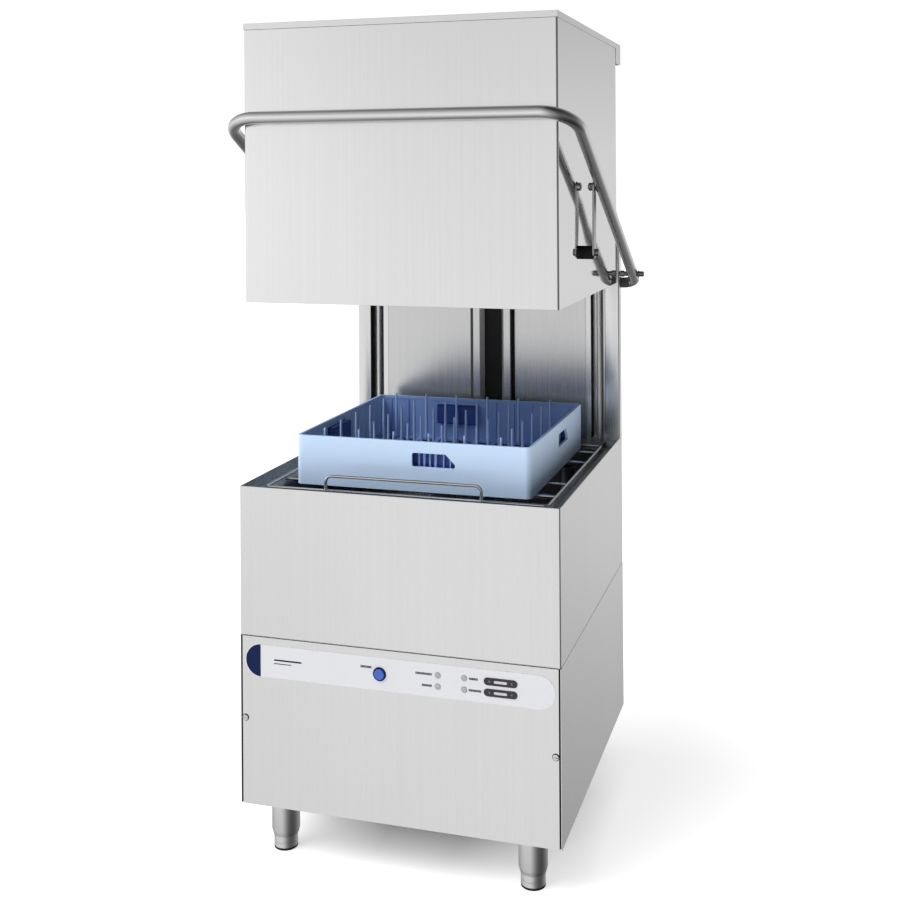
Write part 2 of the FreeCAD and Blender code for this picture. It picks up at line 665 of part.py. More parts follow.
def cable_gland():
    """Gland for the supply cable, in the rear panel."""
    thread = rod(GLAND_X, REAR_IN - 12, GLAND_Z, Y_AXIS, 10, 14)
    outside = hexagon(GLAND_X, DEPTH, GLAND_Z, Y_AXIS, 27, 8)
    dome = Part.makeCone(12.5, 10, 14, Vector(GLAND_X, DEPTH + 8, GLAND_Z), Y_AXIS)
    inside = hexagon(GLAND_X, REAR_IN - 8, GLAND_Z, Y_AXIS, 27, 8)
    body = join([thread, outside, dome, inside])
    return body.cut(rod(GLAND_X, REAR_IN - 20, GLAND_Z, Y_AXIS, 7, 60))


def drain_pipe():
    """Drain from the well down to the outlet at the rear."""
    path = [Vector(WELL_X, WELL_Y, WELL_Z - 0.5), Vector(WELL_X, WELL_Y, 420), Vector(WELL_X, 610, 330),
            Vector(WELL_X, 610, DRAIN_Z), Vector(WELL_X, DEPTH + 28, DRAIN_Z)]
    collar = ring(WELL_X, DEPTH + 0.3, DRAIN_Z, Y_AXIS, 27, 19, 4)
    return join([tube(path, [60, 60, 34], 20, 2), collar])


def control_box():
    """Electrical box on the left, with its lid."""
    outer = box(-318, 90, 125, -254, 350, 420)
    inner = box(-316.5, 91.5, 126.5, -253, 348.5, 418.5)
    lid = box(-253.8, 88, 123, -252.3, 352, 422)
    blocks = [rounded(box(-316.4, 120 + 60 * i, 200, -272, 164 + 60 * i, 270), X_AXIS, 3) for i in range(3)]
    return group([outer.cut(inner), lid] + blocks)


def hood_switch():
    """Sealed switch behind the right wall: it senses the closed hood."""
    body = rounded(box(222, 660, 770, 244, 679, 830), X_AXIS, 3)
    stem = rod(233, 669.5, 829, Z_AXIS, 5, 10)
    return join([body, stem])


# ---------------------------------------------------------------- front panel
def front_panel():
    """Removable service panel that carries the controls."""
    x = SIDE_IN - 3.3
    z0 = BASE_Z + 1
    z1 = SEAM_Z - 1.5
    outer = box(-x, 0, z0, x, 16, z1)
    inner = box(-x + SHEET, SHEET, z0 + SHEET, x - SHEET, 17, z1 - SHEET)
    panel = outer.cut(inner)
    panel = panel.cut(rod(BUTTON_X, -1, LABEL_Z, Y_AXIS, BUTTON_R + 0.4, 5))
    for side in (-1, 1):
        panel = panel.cut(rod(side * SCREW_X, -1, SCREW_Z, Y_AXIS, 4.3, 5))
    for x_lamp, z_lamp in LAMPS:
        panel = panel.cut(rod(x_lamp, -1, z_lamp, Y_AXIS, 5.2, 5))
    for x_show, z_show in DISPLAYS:
        panel = panel.cut(pill(x_show, z_show, -1, DISPLAY_HALF - 2, DISPLAY_R - 1.6, 5))
    return panel


def control_label():
    """Printed label with round ends along the top of the service panel."""
    label = pill(0, LABEL_Z, -0.7, LABEL_HALF, LABEL_R, 0.7)
    label = label.cut(rod(BUTTON_X, -2, LABEL_Z, Y_AXIS, BUTTON_R + 0.4, 5))
    for x, z in LAMPS:
        label = label.cut(rod(x, -2, z, Y_AXIS, 5.2, 5))
    for x, z in DISPLAYS:
        label = label.cut(pill(x, z, -2, DISPLAY_HALF - 2, DISPLAY_R - 1.6, 5))
    return label


def lamps():
    """Four small indicator lamps."""
    parts = []
    for x, z in LAMPS:
        body = rod(x, -1.6, z, Y_AXIS, 5, 18)
        parts.append(body.makeFillet(0.8, [body.Edges[2]]))
    return group(parts)


def displays():
    """Two temperature windows with round ends."""
    parts = []
    for x, z in DISPLAYS:
        face = pill(x, z, -1.7, DISPLAY_HALF, DISPLAY_R, 0.9)
        body = pill(x, z, -1.0, DISPLAY_HALF - 2.2, DISPLAY_R - 1.8, 17)
        parts.append(join([face, body]))
    return group(parts)


def power_button():
    """Round push button that travels into the panel."""
    cap = rod(BUTTON_X, -5.5, LABEL_Z, Y_AXIS, BUTTON_R, 12)
    cap = cap.makeFillet(1.5, [cap.Edges[2]])
    dish = Part.makeSphere(40, Vector(BUTTON_X, -5.5 - 39, LABEL_Z))
    stem = rod(BUTTON_X, 6, LABEL_Z, Y_AXIS, 4, 16)
    return join([cap.cut(dish), stem])


def panel_screw(side):
    """Quarter-turn screw at one edge of the service panel."""
    x = side * SCREW_X
    head = rod(x, -2.4, SCREW_Z, Y_AXIS, 6, 2)
    head = head.makeFillet(0.7, [head.Edges[2]])
    shank = rod(x, -0.5, SCREW_Z, Y_AXIS, 4.2, 14)
    slot = box(x - 5, -3, SCREW_Z - 0.6, x + 5, -1.4, SCREW_Z + 0.6)
    return join([head, shank]).cut(slot)


# ---------------------------------------------------------------- hood
def hood_shell():
    """Folded hood, open below and behind."""
    outer = box(-HOOD_HALF, HOOD_FRONT, HOOD_Z, HOOD_HALF, HOOD_REAR, HOOD_TOP)
    inner = box(-HOOD_HALF + SHEET, HOOD_FRONT + SHEET, HOOD_Z - 1, HOOD_HALF - SHEET, HOOD_REAR + 1,
                HOOD_TOP - SHEET)
    back = box(-HOOD_HALF, HOOD_REAR - SHEET, CAP_BOX_Z, HOOD_HALF, HOOD_REAR, HOOD_TOP)
    wrap = rounded_front(outer, HOOD_BEND).cut(rounded_front(inner, HOOD_BEND - SHEET))
    shell = join([wrap, back])
    return shell.cut(rod(-HOOD_HALF - 1, HOOD_PIN_Y, HOOD_PIN_Z, X_AXIS, 4.3, 2 * HOOD_HALF + 2))


def hood_cap():
    """Lid on the hood, with a box behind that covers the columns' tops."""
    lid = box(-HOOD_HALF - 1, HOOD_FRONT - 1, HOOD_TOP + 0.3, HOOD_HALF + 1, CAP_REAR, CAP_TOP)
    lid = lid.cut(box(-HOOD_HALF + SHEET, HOOD_FRONT + SHEET, HOOD_TOP - 1, HOOD_HALF - SHEET,
                      CAP_REAR - SHEET, CAP_TOP - SHEET))
    rear = box(-HOOD_HALF - 1, HOOD_REAR + 0.3, CAP_BOX_Z, HOOD_HALF + 1, CAP_REAR, CAP_TOP)
    rear = rear.cut(box(-HOOD_HALF + SHEET, HOOD_REAR - 1, CAP_BOX_Z - 1, HOOD_HALF - SHEET,
                        CAP_REAR - SHEET, CAP_TOP - SHEET))
    return join([lid, rear])


def hood_brackets():
    """Brackets from the hood's sides into the guide channels."""
    x = HOOD_HALF - SHEET
    z1 = 1228.0
    z0 = HOOD_Z + 12
    plate = box(x - 2, 596, z0, x, HOOD_REAR, z1)
    wing = box(268, HOOD_REAR - 2, z0, x, HOOD_REAR, z1)
    tongue = box(272, HOOD_REAR - 1, z0 + 2, 287, ROD_Y - 11.2, z0 + 38)
    upper = box(272, HOOD_REAR - 1, z1 - 38, 287, ROD_Y - 11.2, z1 - 2)
    return both(join([plate, wing, tongue, upper]))


def hood_guide_blocks():
    """Plastic blocks that run on the guide rods, two a side."""
    blocks = []
    for side in (-1, 1):
        for z in (HOOD_Z + 13, 1190.0):
            block = box(side * ROD_X - 13, ROD_Y - 11, z, side * ROD_X + 13, ROD_Y + 10.5, z + 36)
            block = rounded(block, Z_AXIS, 2)
            blocks.append(block.cut(rod(side * ROD_X, ROD_Y, z - 1, Z_AXIS, ROD_R + RUNNING, 40)))
    return group(blocks)


def hood_pins():
    """Studs on the hood's sides that carry the links."""
    x = HOOD_HALF
    shank = rod(x - 12, HOOD_PIN_Y, HOOD_PIN_Z, X_AXIS, 4, LINK_X + 6 - x + 12)
    nut = hexagon(x - SHEET - 7, HOOD_PIN_Y, HOOD_PIN_Z, X_AXIS, 13, 7)
    head = rod(LINK_X + 2.3, HOOD_PIN_Y, HOOD_PIN_Z, X_AXIS, 7.6, 7.5)
    head = head.makeFillet(1.2, [head.Edges[0]])
    return both(join([shank, nut, head]))


def hood_bushes():
    """Grooved black bushes between the hood and the links."""
    x = HOOD_HALF
    bush = rod(x, HOOD_PIN_Y, HOOD_PIN_Z, X_AXIS, 14, LINK_X - 2.3 - x)
    for groove in (1.5, 6.5, 11.5, 16.5):
        bush = bush.cut(ring(x + groove - 0.8, HOOD_PIN_Y, HOOD_PIN_Z, X_AXIS, 18, 12.8, 1.6))
    return both(bush.cut(rod(x - 1, HOOD_PIN_Y, HOOD_PIN_Z, X_AXIS, 4, 30)))


# ---------------------------------------------------------------- handle
def handle_points():
    """Corners of the handle's route, from one tail round to the other."""
    right = [Vector(TAIL_END_X, TAIL_Y, TAIL_Z), Vector(ARM_X, TAIL_Y, TAIL_Z), Vector(ARM_X, BAR_Y, BAR_Z)]
    left = [Vector(-p.x, p.y, p.z) for p in reversed(right)]
    return right + left


def handle_bar():
    """One bent tube: tails, side arms and front bar."""
    bends = [TAIL_BEND, FRONT_BEND, FRONT_BEND, TAIL_BEND]
    body = tube(handle_points(), bends, TUBE_R, TUBE_WALL)
    hole = rod(-400, PIVOT_Y, PIVOT_Z, X_AXIS, 5 + RUNNING, 800)
    return body.cut(hole)


def handle_plugs():
    """Caps in the handle's two tail ends."""
    plug = rod(TAIL_END_X, TAIL_Y, TAIL_Z, X_AXIS, TUBE_R - TUBE_WALL, 12)
    head = rod(TAIL_END_X - 2.5, TAIL_Y, TAIL_Z, X_AXIS, TUBE_R, 2.5)
    head = head.makeFillet(1.2, [head.Edges[2]])
    return both(join([plug, head]))


def pivot_bolts():
    """Bolts, spacers and lock nuts that carry the handle on the columns."""
    shank = rod(SIDE_IN - 9, PIVOT_Y, PIVOT_Z, X_AXIS, 5, ARM_X + TUBE_R + 4 - SIDE_IN + 9)
    nut = hexagon(SIDE_IN - 7.5, PIVOT_Y, PIVOT_Z, X_AXIS, 17, 7)
    cap = rod(ARM_X + TUBE_R + 1, PIVOT_Y, PIVOT_Z, X_AXIS, 6.5, 13)
    cap = cap.makeFillet(2.5, [cap.Edges[0]])
    washer = rod(ARM_X + TUBE_R + 0.5, PIVOT_Y, PIVOT_Z, X_AXIS, 9, 1.5)
    spacer = rod(HALF, PIVOT_Y, PIVOT_Z, X_AXIS, 5.6, ARM_X - TUBE_R - 0.6 - HALF)
    locknut = hexagon(HALF + 2, PIVOT_Y, PIVOT_Z, X_AXIS, 13, 9)
    return both(join([shank, nut, cap, washer, spacer, locknut]))


def link(side):
    """Flat link between the handle and the hood, with its upper bolt."""
    x0 = LINK_X - 2
    way = Vector(0, PIN_Y - HOOD_PIN_Y, PIN_Z - HOOD_PIN_Z)
    length = way.Length
    bar = box(x0, HOOD_PIN_Y - LINK_W, HOOD_PIN_Z, x0 + 4, HOOD_PIN_Y + LINK_W, HOOD_PIN_Z + length)
    ends = [rod(x0, HOOD_PIN_Y, HOOD_PIN_Z + z, X_AXIS, LINK_W, 4) for z in (0, length)]
    flat = join([bar] + ends)
    angle = math.degrees(math.atan2(way.y, way.z))
    flat.rotate(Vector(0, HOOD_PIN_Y, HOOD_PIN_Z), X_AXIS, -angle)
    flat = flat.cut(rod(x0 - 1, HOOD_PIN_Y, HOOD_PIN_Z, X_AXIS, 4 + RUNNING, 8))
    nut = rod(x0 - 9, PIN_Y, PIN_Z, X_AXIS, 8.5, 9)
    nut = nut.makeFillet(1.2, [nut.Edges[2]])
    tip = rod(x0 - 11, PIN_Y, PIN_Z, X_AXIS, 4, 3)
    part = join([flat, nut, tip])
    return part if side > 0 else mirror_x(part)


# ---------------------------------------------------------------- rack and its guide
def rack_guide():
    """Welded wire frame that carries the rack, with a stop at the front."""
    x = 295.0
    y0 = 50.0
    y1 = 606.0
    top = LEDGE_Z + WIRE_R * 3 + 0.5
    low = LEDGE_Z + WIRE_R + 0.5
    corners = [Vector(0, y0, top), Vector(x, y0, top), Vector(x, y1, top), Vector(-x, y1, top),
               Vector(-x, y0, top), Vector(0, y0, top)]
    frame = pipe(corners, [10, 10, 10, 10], WIRE_R)
    rails = [rod(-x, y, low + 0.4, X_AXIS, WIRE_R, 2 * x) for y in (145.0, 250.0, 455.0, 560.0)]
    z_stop = top + 30
    stop = [Vector(-163, y0, top), Vector(-163, y0, z_stop), Vector(163, y0, z_stop), Vector(163, y0, top)]
    stop_wire = pipe(stop, [12, 12], WIRE_R)
    return join([frame, stop_wire] + rails)


def rack():
    """Moulded 500 mm plate rack with open grid base, pegs and handholds."""
    x = RACK / 2
    y0 = RACK_Y
    y1 = RACK_Y + RACK
    z0 = RACK_Z
    z1 = RACK_Z + RACK_H
    outer = rounded(box(-x, y0, z0, x, y1, z1), Z_AXIS, 12)
    inner = rounded(box(-x + 6, y0 + 6, z0 + 5, x - 6, y1 - 6, z1 + 1), Z_AXIS, 8)
    body = outer.cut(inner)
    pitch = 47.0
    hole = pitch - 9
    for i in range(10):
        for j in range(10):
            cx = (i - 4.5) * pitch
            cy = y0 + x + (j - 4.5) * pitch
            body = body.cut(box(cx - hole / 2, cy - hole / 2, z0 - 1, cx + hole / 2, cy + hole / 2, z0 + 6))
    for turn in range(4):
        hold = handhold(z0 + 64, y0 - 1)
        hold.rotate(Vector(0, y0 + x, 0), Z_AXIS, 90 * turn)
        body = body.cut(hold)
    pegs = []
    for i in range(6):
        for j in range(6):
            px = (i - 2.5) * PEG_PITCH - 8.5
            py = y0 + x + (j - 2.5) * PEG_ROW
            pegs.append(Part.makeCone(4.2, 2.2, PEG_H, Vector(px, py, z0 + 4), Z_AXIS))
    return join([body] + pegs)


def handhold(z, y):
    """Cutter for a handhold beside the wall's middle, with its outer upper corner cut off."""
    outline = [(3, z - 14), (94, z - 14), (94, z - 6), (74, z + 14), (3, z + 14), (3, z - 14)]
    face = Part.Face(Part.makePolygon([Vector(x, y, height) for x, height in outline]))
    return rounded(face.extrude(Vector(0, 10, 0)), Y_AXIS, 4.5)


# ---------------------------------------------------------------- all parts
def main():
    os.makedirs("parts", exist_ok=True)
    save("chassis", chassis())
    save("foot_sleeves", foot_sleeves())
    names = ("foot_front_left", "foot_front_right", "foot_rear_left", "foot_rear_right")
    for name, (x, y) in zip(names, feet()):
        save(name, foot_insert(x, y))
    save("side_panels", side_panels())
    save("rear_panel", rear_panel())
    save("tank_casing", tank_casing())
    save("tank", tank())
    save("columns", columns())
    save("guide_rods", guide_rods())
    save("rear_walls", rear_walls())
    save("mast", mast())
    save("rear_cover", rear_cover())
    save("spring_left", spring(-SPRING_X))
    save("spring_right", spring(SPRING_X))
    save("riser_pipes", riser_pipes())
    save("upper_hub", upper_hub())
    save("lower_hub", lower_hub())
    save("upper_wash_arm", wash_arm(UPPER_WASH_Z, True))
    save("lower_wash_arm", wash_arm(LOWER_WASH_Z, False))
    save("upper_rinse_arm", rinse_arm(UPPER_RINSE_Z, True))
    save("lower_rinse_arm", rinse_arm(LOWER_RINSE_Z, False))
    save("arm_nuts", arm_nuts())
    save("tank_filter", tank_filter())
    save("overflow_pipe", overflow_pipe())
    save("tank_heater", tank_heater())
    save("pump_housing", pump_housing())
    save("impeller", impeller())
    save("pump_motor", pump_motor())
    save("suction_hose", suction_hose())
    save("pressure_pipe", pressure_pipe())
    save("boiler", boiler())
    save("boiler_heater", boiler_heater())
    save("solenoid_valve", solenoid_valve())
    save("cable_gland", cable_gland())
    save("drain_pipe", drain_pipe())
    save("control_box", control_box())
    save("hood_switch", hood_switch())
    save("front_panel", front_panel())
    save("control_label", control_label())
    save("lamps", lamps())
    save("displays", displays())
    save("power_button", power_button())
    save("panel_screw_left", panel_screw(-1))
    save("panel_screw_right", panel_screw(1))
    save("hood_shell", hood_shell())
    save("hood_cap", hood_cap())
    save("hood_brackets", hood_brackets())
    save("hood_guide_blocks", hood_guide_blocks())
    save("hood_pins", hood_pins())
    save("hood_bushes", hood_bushes())
    save("handle_bar", handle_bar())
    save("handle_plugs", handle_plugs())
    save("pivot_bolts", pivot_bolts())
    save("link_left", link(-1))
    save("link_right", link(1))
    save("rack_guide", rack_guide())
    save("rack", rack())


main()
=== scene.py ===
import json
import math

import bmesh
import bpy
from mathutils import Matrix, Vector

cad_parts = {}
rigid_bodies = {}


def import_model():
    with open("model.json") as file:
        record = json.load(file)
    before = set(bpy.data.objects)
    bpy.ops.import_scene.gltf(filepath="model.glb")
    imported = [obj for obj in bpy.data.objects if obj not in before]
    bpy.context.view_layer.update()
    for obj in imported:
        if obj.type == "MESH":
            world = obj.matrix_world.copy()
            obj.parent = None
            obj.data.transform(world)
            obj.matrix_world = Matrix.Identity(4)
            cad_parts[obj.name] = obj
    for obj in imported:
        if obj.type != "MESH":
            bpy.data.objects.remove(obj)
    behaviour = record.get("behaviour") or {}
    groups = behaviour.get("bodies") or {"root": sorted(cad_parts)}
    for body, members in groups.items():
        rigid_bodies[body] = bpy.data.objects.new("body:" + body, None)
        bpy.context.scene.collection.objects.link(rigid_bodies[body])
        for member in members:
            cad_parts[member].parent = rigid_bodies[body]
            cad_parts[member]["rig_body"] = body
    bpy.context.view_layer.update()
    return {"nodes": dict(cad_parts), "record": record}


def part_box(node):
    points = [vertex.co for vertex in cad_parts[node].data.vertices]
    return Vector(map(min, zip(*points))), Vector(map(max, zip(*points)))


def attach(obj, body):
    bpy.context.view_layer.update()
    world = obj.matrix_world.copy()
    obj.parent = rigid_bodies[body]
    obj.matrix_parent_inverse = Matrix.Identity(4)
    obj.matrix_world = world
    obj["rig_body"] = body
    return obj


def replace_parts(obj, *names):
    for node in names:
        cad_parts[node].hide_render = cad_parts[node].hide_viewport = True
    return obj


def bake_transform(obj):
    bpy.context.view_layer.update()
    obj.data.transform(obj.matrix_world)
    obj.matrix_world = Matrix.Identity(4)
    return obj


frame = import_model()

# Hood dishwasher with its hood raised. All lengths are metres in the machine's
# frame. at() takes millimetres as the machine is drawn: x from the middle
# plane, y from the front face to the rear, z from the floor.
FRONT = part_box("tank_casing")[0][1]


def at(x, y, z):
    """A drawn point, in millimetres, as a place in the frame."""
    return Vector((x / 1000, FRONT + y / 1000, z / 1000))


# ---------------------------------------------------------------- materials
class Nodes:
    """A material's node tree, with short calls to add and link nodes."""

    def __init__(self, name):
        self.material = bpy.data.materials.new(name)
        self.material.use_nodes = True
        self.tree = self.material.node_tree
        self.shader = self.tree.nodes["Principled BSDF"]
        self.object_space = self.add("ShaderNodeTexCoord").outputs["Object"]

    def add(self, kind, **values):
        node = self.tree.nodes.new(kind)
        for key, value in values.items():
            setattr(node, key, value)
        return node

    def join(self, source, target):
        self.tree.links.new(source, target)

    def set(self, **values):
        for key, value in values.items():
            self.shader.inputs[key.replace("_", " ")].default_value = value

    def noise(self, scale, detail=2.0, rough=0.5, stretch=(1, 1, 1), turn=(0, 0, 0)):
        mapping = self.add("ShaderNodeMapping")
        mapping.inputs["Scale"].default_value = stretch
        mapping.inputs["Rotation"].default_value = turn
        self.join(self.object_space, mapping.inputs["Vector"])
        texture = self.add("ShaderNodeTexNoise")
        texture.inputs["Scale"].default_value = scale
        texture.inputs["Detail"].default_value = detail
        texture.inputs["Roughness"].default_value = rough
        self.join(mapping.outputs["Vector"], texture.inputs["Vector"])
        return texture.outputs["Fac"]

    def span(self, value, low, high, source_low=0.3, source_high=0.7):
        """The value, remapped from its source range to low to high."""
        remap = self.add("ShaderNodeMapRange")
        remap.inputs["From Min"].default_value = source_low
        remap.inputs["From Max"].default_value = source_high
        remap.inputs["To Min"].default_value = low
        remap.inputs["To Max"].default_value = high
        self.join(value, remap.inputs["Value"])
        return remap.outputs["Result"]

    def mix(self, factor, first, second):
        node = self.add("ShaderNodeMix", data_type="FLOAT")
        self.join(factor, node.inputs["Factor"])
        for value, socket in ((first, node.inputs[2]), (second, node.inputs[3])):
            if isinstance(value, float):
                socket.default_value = value
            else:
                self.join(value, socket)
        return node.outputs[0]

    def colour(self, factor, first, second):
        node = self.add("ShaderNodeMix", data_type="RGBA")
        self.join(factor, node.inputs["Factor"])
        node.inputs[6].default_value = (*first, 1)
        node.inputs[7].default_value = (*second, 1)
        return node.outputs[2]

    def bump(self, height, strength, distance):
        node = self.add("ShaderNodeBump")
        node.inputs["Strength"].default_value = strength
        node.inputs["Distance"].default_value = distance
        self.join(height, node.inputs["Height"])
        self.join(node.outputs["Normal"], self.shader.inputs["Normal"])

    def facing(self, axis):
        """1 where the surface looks along an axis, 0 where it looks across it."""
        geometry = self.add("ShaderNodeNewGeometry")
        parts = self.add("ShaderNodeSeparateXYZ")
        self.join(geometry.outputs["Normal"], parts.inputs["Vector"])
        size = self.add("ShaderNodeMath", operation="ABSOLUTE")
        self.join(parts.outputs[axis], size.inputs[0])
        return self.span(size.outputs[0], 0.0, 1.0, 0.6, 0.8)


def shade(value):
    return (value, value, value)


def steel(name, tone, rough, grain=0.06, side_rough=None, metal=1.0):
    """Brushed stainless steel. The grain runs upright on walls and along X on level faces.

    side_rough is the roughness of the faces that look left and right, where it differs."""
    m = Nodes(name)
    upright = m.noise(1.0, 3.0, 0.65, (2600, 2600, 9))
    level = m.noise(1.0, 3.0, 0.65, (9, 2600, 2600))
    lines = m.mix(m.facing("Z"), upright, level)
    streaks = m.noise(1.0, 2.0, 0.6, (170, 170, 1.2))
    cloud = m.noise(2.6, 2.0, 0.5, (1, 1, 0.35))
    both = m.add("ShaderNodeMath", operation="ADD")
    m.join(m.span(lines, -0.35, 0.35), both.inputs[0])
    m.join(m.span(streaks, 0.1, 0.9), both.inputs[1])
    tones = m.colour(both.outputs[0], shade(tone * 0.985), shade(tone * 1.015))
    m.join(tones, m.shader.inputs["Base Color"])
    fine = m.span(lines, rough - grain / 2, rough + grain / 2)
    if side_rough is not None:
        side = m.span(lines, side_rough * 0.8, side_rough * 1.25)
        fine = m.mix(m.facing("X"), fine, side)
    wide = m.span(cloud, -0.015, 0.02)
    total = m.add("ShaderNodeMath", operation="ADD")
    m.join(fine, total.inputs[0])
    m.join(wide, total.inputs[1])
    m.join(total.outputs[0], m.shader.inputs["Roughness"])
    m.set(Metallic=metal)
    m.bump(lines, 0.03, 0.00005)
    return m.material


def bright(name, tone, rough):
    """Polished steel with faint drawing marks."""
    m = Nodes(name)
    marks = m.noise(260.0, 3.0, 0.6)
    m.join(m.colour(marks, shade(tone * 0.93), shade(tone * 1.05)), m.shader.inputs["Base Color"])
    m.join(m.span(marks, rough * 0.75, rough * 1.35), m.shader.inputs["Roughness"])
    m.set(Metallic=1.0)
    m.bump(marks, 0.05, 0.00005)
    return m.material


def plastic(name, colour, rough, spread=0.06, grain=900.0, bump=0.12, specular=0.5):
    """Moulded plastic, rubber or printed film, with a fine eggshell grain."""
    m = Nodes(name)
    grains = m.noise(grain, 2.0, 0.6)
    cloud = m.noise(14.0, 2.0, 0.5)
    dark = tuple(c * (1 - spread) for c in colour)
    light = tuple(min(1.0, c * (1 + spread)) for c in colour)
    m.join(m.colour(cloud, dark, light), m.shader.inputs["Base Color"])
    m.join(m.span(grains, rough * 0.85, rough * 1.15), m.shader.inputs["Roughness"])
    m.bump(grains, bump, 0.00008)
    m.set(Specular_IOR_Level=specular)
    return m.material


MATERIALS = {
    "brushed_steel": steel("brushed steel", 0.74, 0.27),
    "hood_steel": steel("hood steel", 0.76, 0.24, side_rough=0.055),
    "wall_steel": steel("rear wall steel", 0.60, 0.25),
    # The tank steel's dark tone is painted shade in the deep tank.
    "inner_steel": steel("tank steel, painted shade", 0.24, 0.34),
    "foot_steel": steel("foot steel", 0.74, 0.42),
    "tube_steel": steel("tube steel", 0.72, 0.20, 0.05),
    "bright_steel": bright("bright steel", 0.62, 0.16),
    "dark_steel": bright("dark steel", 0.22, 0.3),
    "link_steel": bright("link steel", 0.42, 0.24),
    "rod_steel": steel("rod steel", 0.72, 0.36, metal=0.45),
    # The slope steel's darker, duller tone is painted shade on the mast's sloped faces.
    "slope_steel": steel("slope steel, painted shade", 0.42, 0.45, metal=0.3),
    "seal_grey": plastic("grey seal", (0.10, 0.10, 0.10), 0.6, 0.1, 500.0, 0.2, 0.3),
    "black_rubber": plastic("black rubber", (0.014, 0.014, 0.014), 0.75, 0.2, 500.0, 0.3, 0.3),
    "seam_rubber": plastic("seam strip", (0.42, 0.42, 0.43), 0.7, 0.1, 500.0, 0.2, 0.3),
    "black_plastic": plastic("black plastic", (0.015, 0.015, 0.017), 0.42, 0.15),
    "white_plastic": plastic("white plastic", (0.78, 0.78, 0.75), 0.45),
    "grey_plastic": plastic("grey plastic", (0.30, 0.31, 0.32), 0.45),
    "motor_paint": plastic("motor paint", (0.05, 0.07, 0.10), 0.4, 0.12, 300.0, 0.3),
    "label_film": plastic("label film", (0.60, 0.605, 0.63), 0.34, 0.01, 1500.0, 0.04, 0.35),
    "print_navy": plastic("navy print", (0.004, 0.013, 0.058), 0.35, 0.05, 1500.0, 0.04, 0.1),
    "print_grey": plastic("grey print", (0.016, 0.018, 0.045), 0.4, 0.05, 1500.0, 0.04, 0.1),
    "lamp_lens": plastic("lamp lens", (0.36, 0.36, 0.34), 0.22, 0.08, 700.0, 0.05),
    "display_black": plastic("display window", (0.022, 0.018, 0.022), 0.12, 0.1, 900.0, 0.02, 0.4),
    "print_dim": plastic("dim print", (0.10, 0.10, 0.11), 0.4, 0.05, 900.0, 0.02),
    "display_strip": plastic("display strip", (0.50, 0.50, 0.52), 0.3, 0.12, 900.0, 0.02),
    "button_blue": plastic("button cap", (0.036, 0.095, 0.42), 0.2, 0.06, 900.0, 0.03),
    # The rack's one blue plastic in lit and shaded copies: inner faces, pegs and pockets take
    # darker tones as painted shade.
    "rack_plastic": plastic("rack plastic", (0.58, 0.75, 0.98), 0.36, 0.02, 600.0, 0.08, 0.35),
    "rack_inside": plastic("rack inner faces, painted shade", (0.27, 0.42, 0.80), 0.42, 0.05, 600.0, 0.1, 0.3),
    "grip_dip": plastic("dipped tail", (0.05, 0.05, 0.05), 0.5, 0.3, 260.0, 0.8, 0.6),
    "rack_peg": plastic("rack pegs, painted shade", (0.40, 0.57, 0.92), 0.4, 0.03, 600.0, 0.05, 0.3),
    "rack_pocket": plastic("rack pockets, painted shade", (0.035, 0.075, 0.30), 0.45, 0.08, 600.0, 0.1, 0.3),
}


# ---------------------------------------------------------------- piece helpers
def body_of(node):
    return frame["nodes"][node]["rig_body"]


SLOTS = {row["node"]: row["material_slot"] for row in frame["record"]["subparts"]}


def add_object(name, mesh):
    obj = bpy.data.objects.new(name, mesh)
    bpy.context.scene.collection.objects.link(obj)
    return obj


def mesh_object(name, bm):
    """A new object from a bmesh, which is freed."""
    mesh = bpy.data.meshes.new(name)
    bmesh.ops.recalc_face_normals(bm, faces=bm.faces)
    bm.to_mesh(mesh)
    bm.free()
    return add_object(name, mesh)


def smooth(obj, degrees=35):
    obj.data.shade_smooth()
    obj.data.set_sharp_from_angle(angle=math.radians(degrees))


def place(obj, body, slot, material=None, degrees=35):
    """Give a finished piece its material (its record slot's, unless named) and the body it rides
    on.
    """
    obj.data.materials.clear()
    obj.data.materials.append(MATERIALS[material or slot])
    if degrees:
        smooth(obj, degrees)
    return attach(obj, body)


def soften(obj, width, segments=2):
    bevel = obj.modifiers.new("soft edges", "BEVEL")
    bevel.width = width
    bevel.segments = segments
    bevel.limit_method = "ANGLE"
    bevel.angle_limit = math.radians(40)
    bevel.harden_normals = True
    bevel.use_clamp_overlap = True


def dress(node, material=None, width=0.0003):
    """Stand a soft-edged piece with the node's own shape in the node's place."""
    bm = bmesh.new()
    bm.from_mesh(frame["nodes"][node].data)
    bmesh.ops.remove_doubles(bm, verts=bm.verts, dist=2e-6)
    bmesh.ops.dissolve_limit(bm, angle_limit=math.radians(0.5), verts=bm.verts, edges=bm.edges)
    obj = mesh_object(node + ".look", bm)
    place(obj, body_of(node), SLOTS[node], material)
    if width:
        soften(obj, width)
    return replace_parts(obj, node)


def revolve(name, profile, centre, axis="Z", steps=48):
    """A turned piece from (radius, height) points in millimetres, standing along Z or Y."""
    bm = bmesh.new()
    rows = []
    for i in range(steps):
        angle = 2 * math.pi * i / steps
        rows.append([
            bm.verts.new((r / 1000 * math.cos(angle), r / 1000 * math.sin(angle), h / 1000))
            for r, h in profile
        ])
    for first, second in zip(rows, rows[1:] + rows[:1]):
        for i in range(len(profile) - 1):
            bm.faces.new((first[i], second[i], second[i + 1], first[i + 1]))
    bmesh.ops.remove_doubles(bm, verts=bm.verts, dist=1e-7)
    if profile[0] != profile[-1]:
        bmesh.ops.holes_fill(bm, edges=[e for e in bm.edges if e.is_boundary])
    turn = Matrix.Identity(4) if axis == "Z" else Matrix.Rotation(-math.pi / 2, 4, "X")
    bmesh.ops.transform(bm, matrix=Matrix.Translation(centre) @ turn, verts=bm.verts)
    return mesh_object(name, bm)


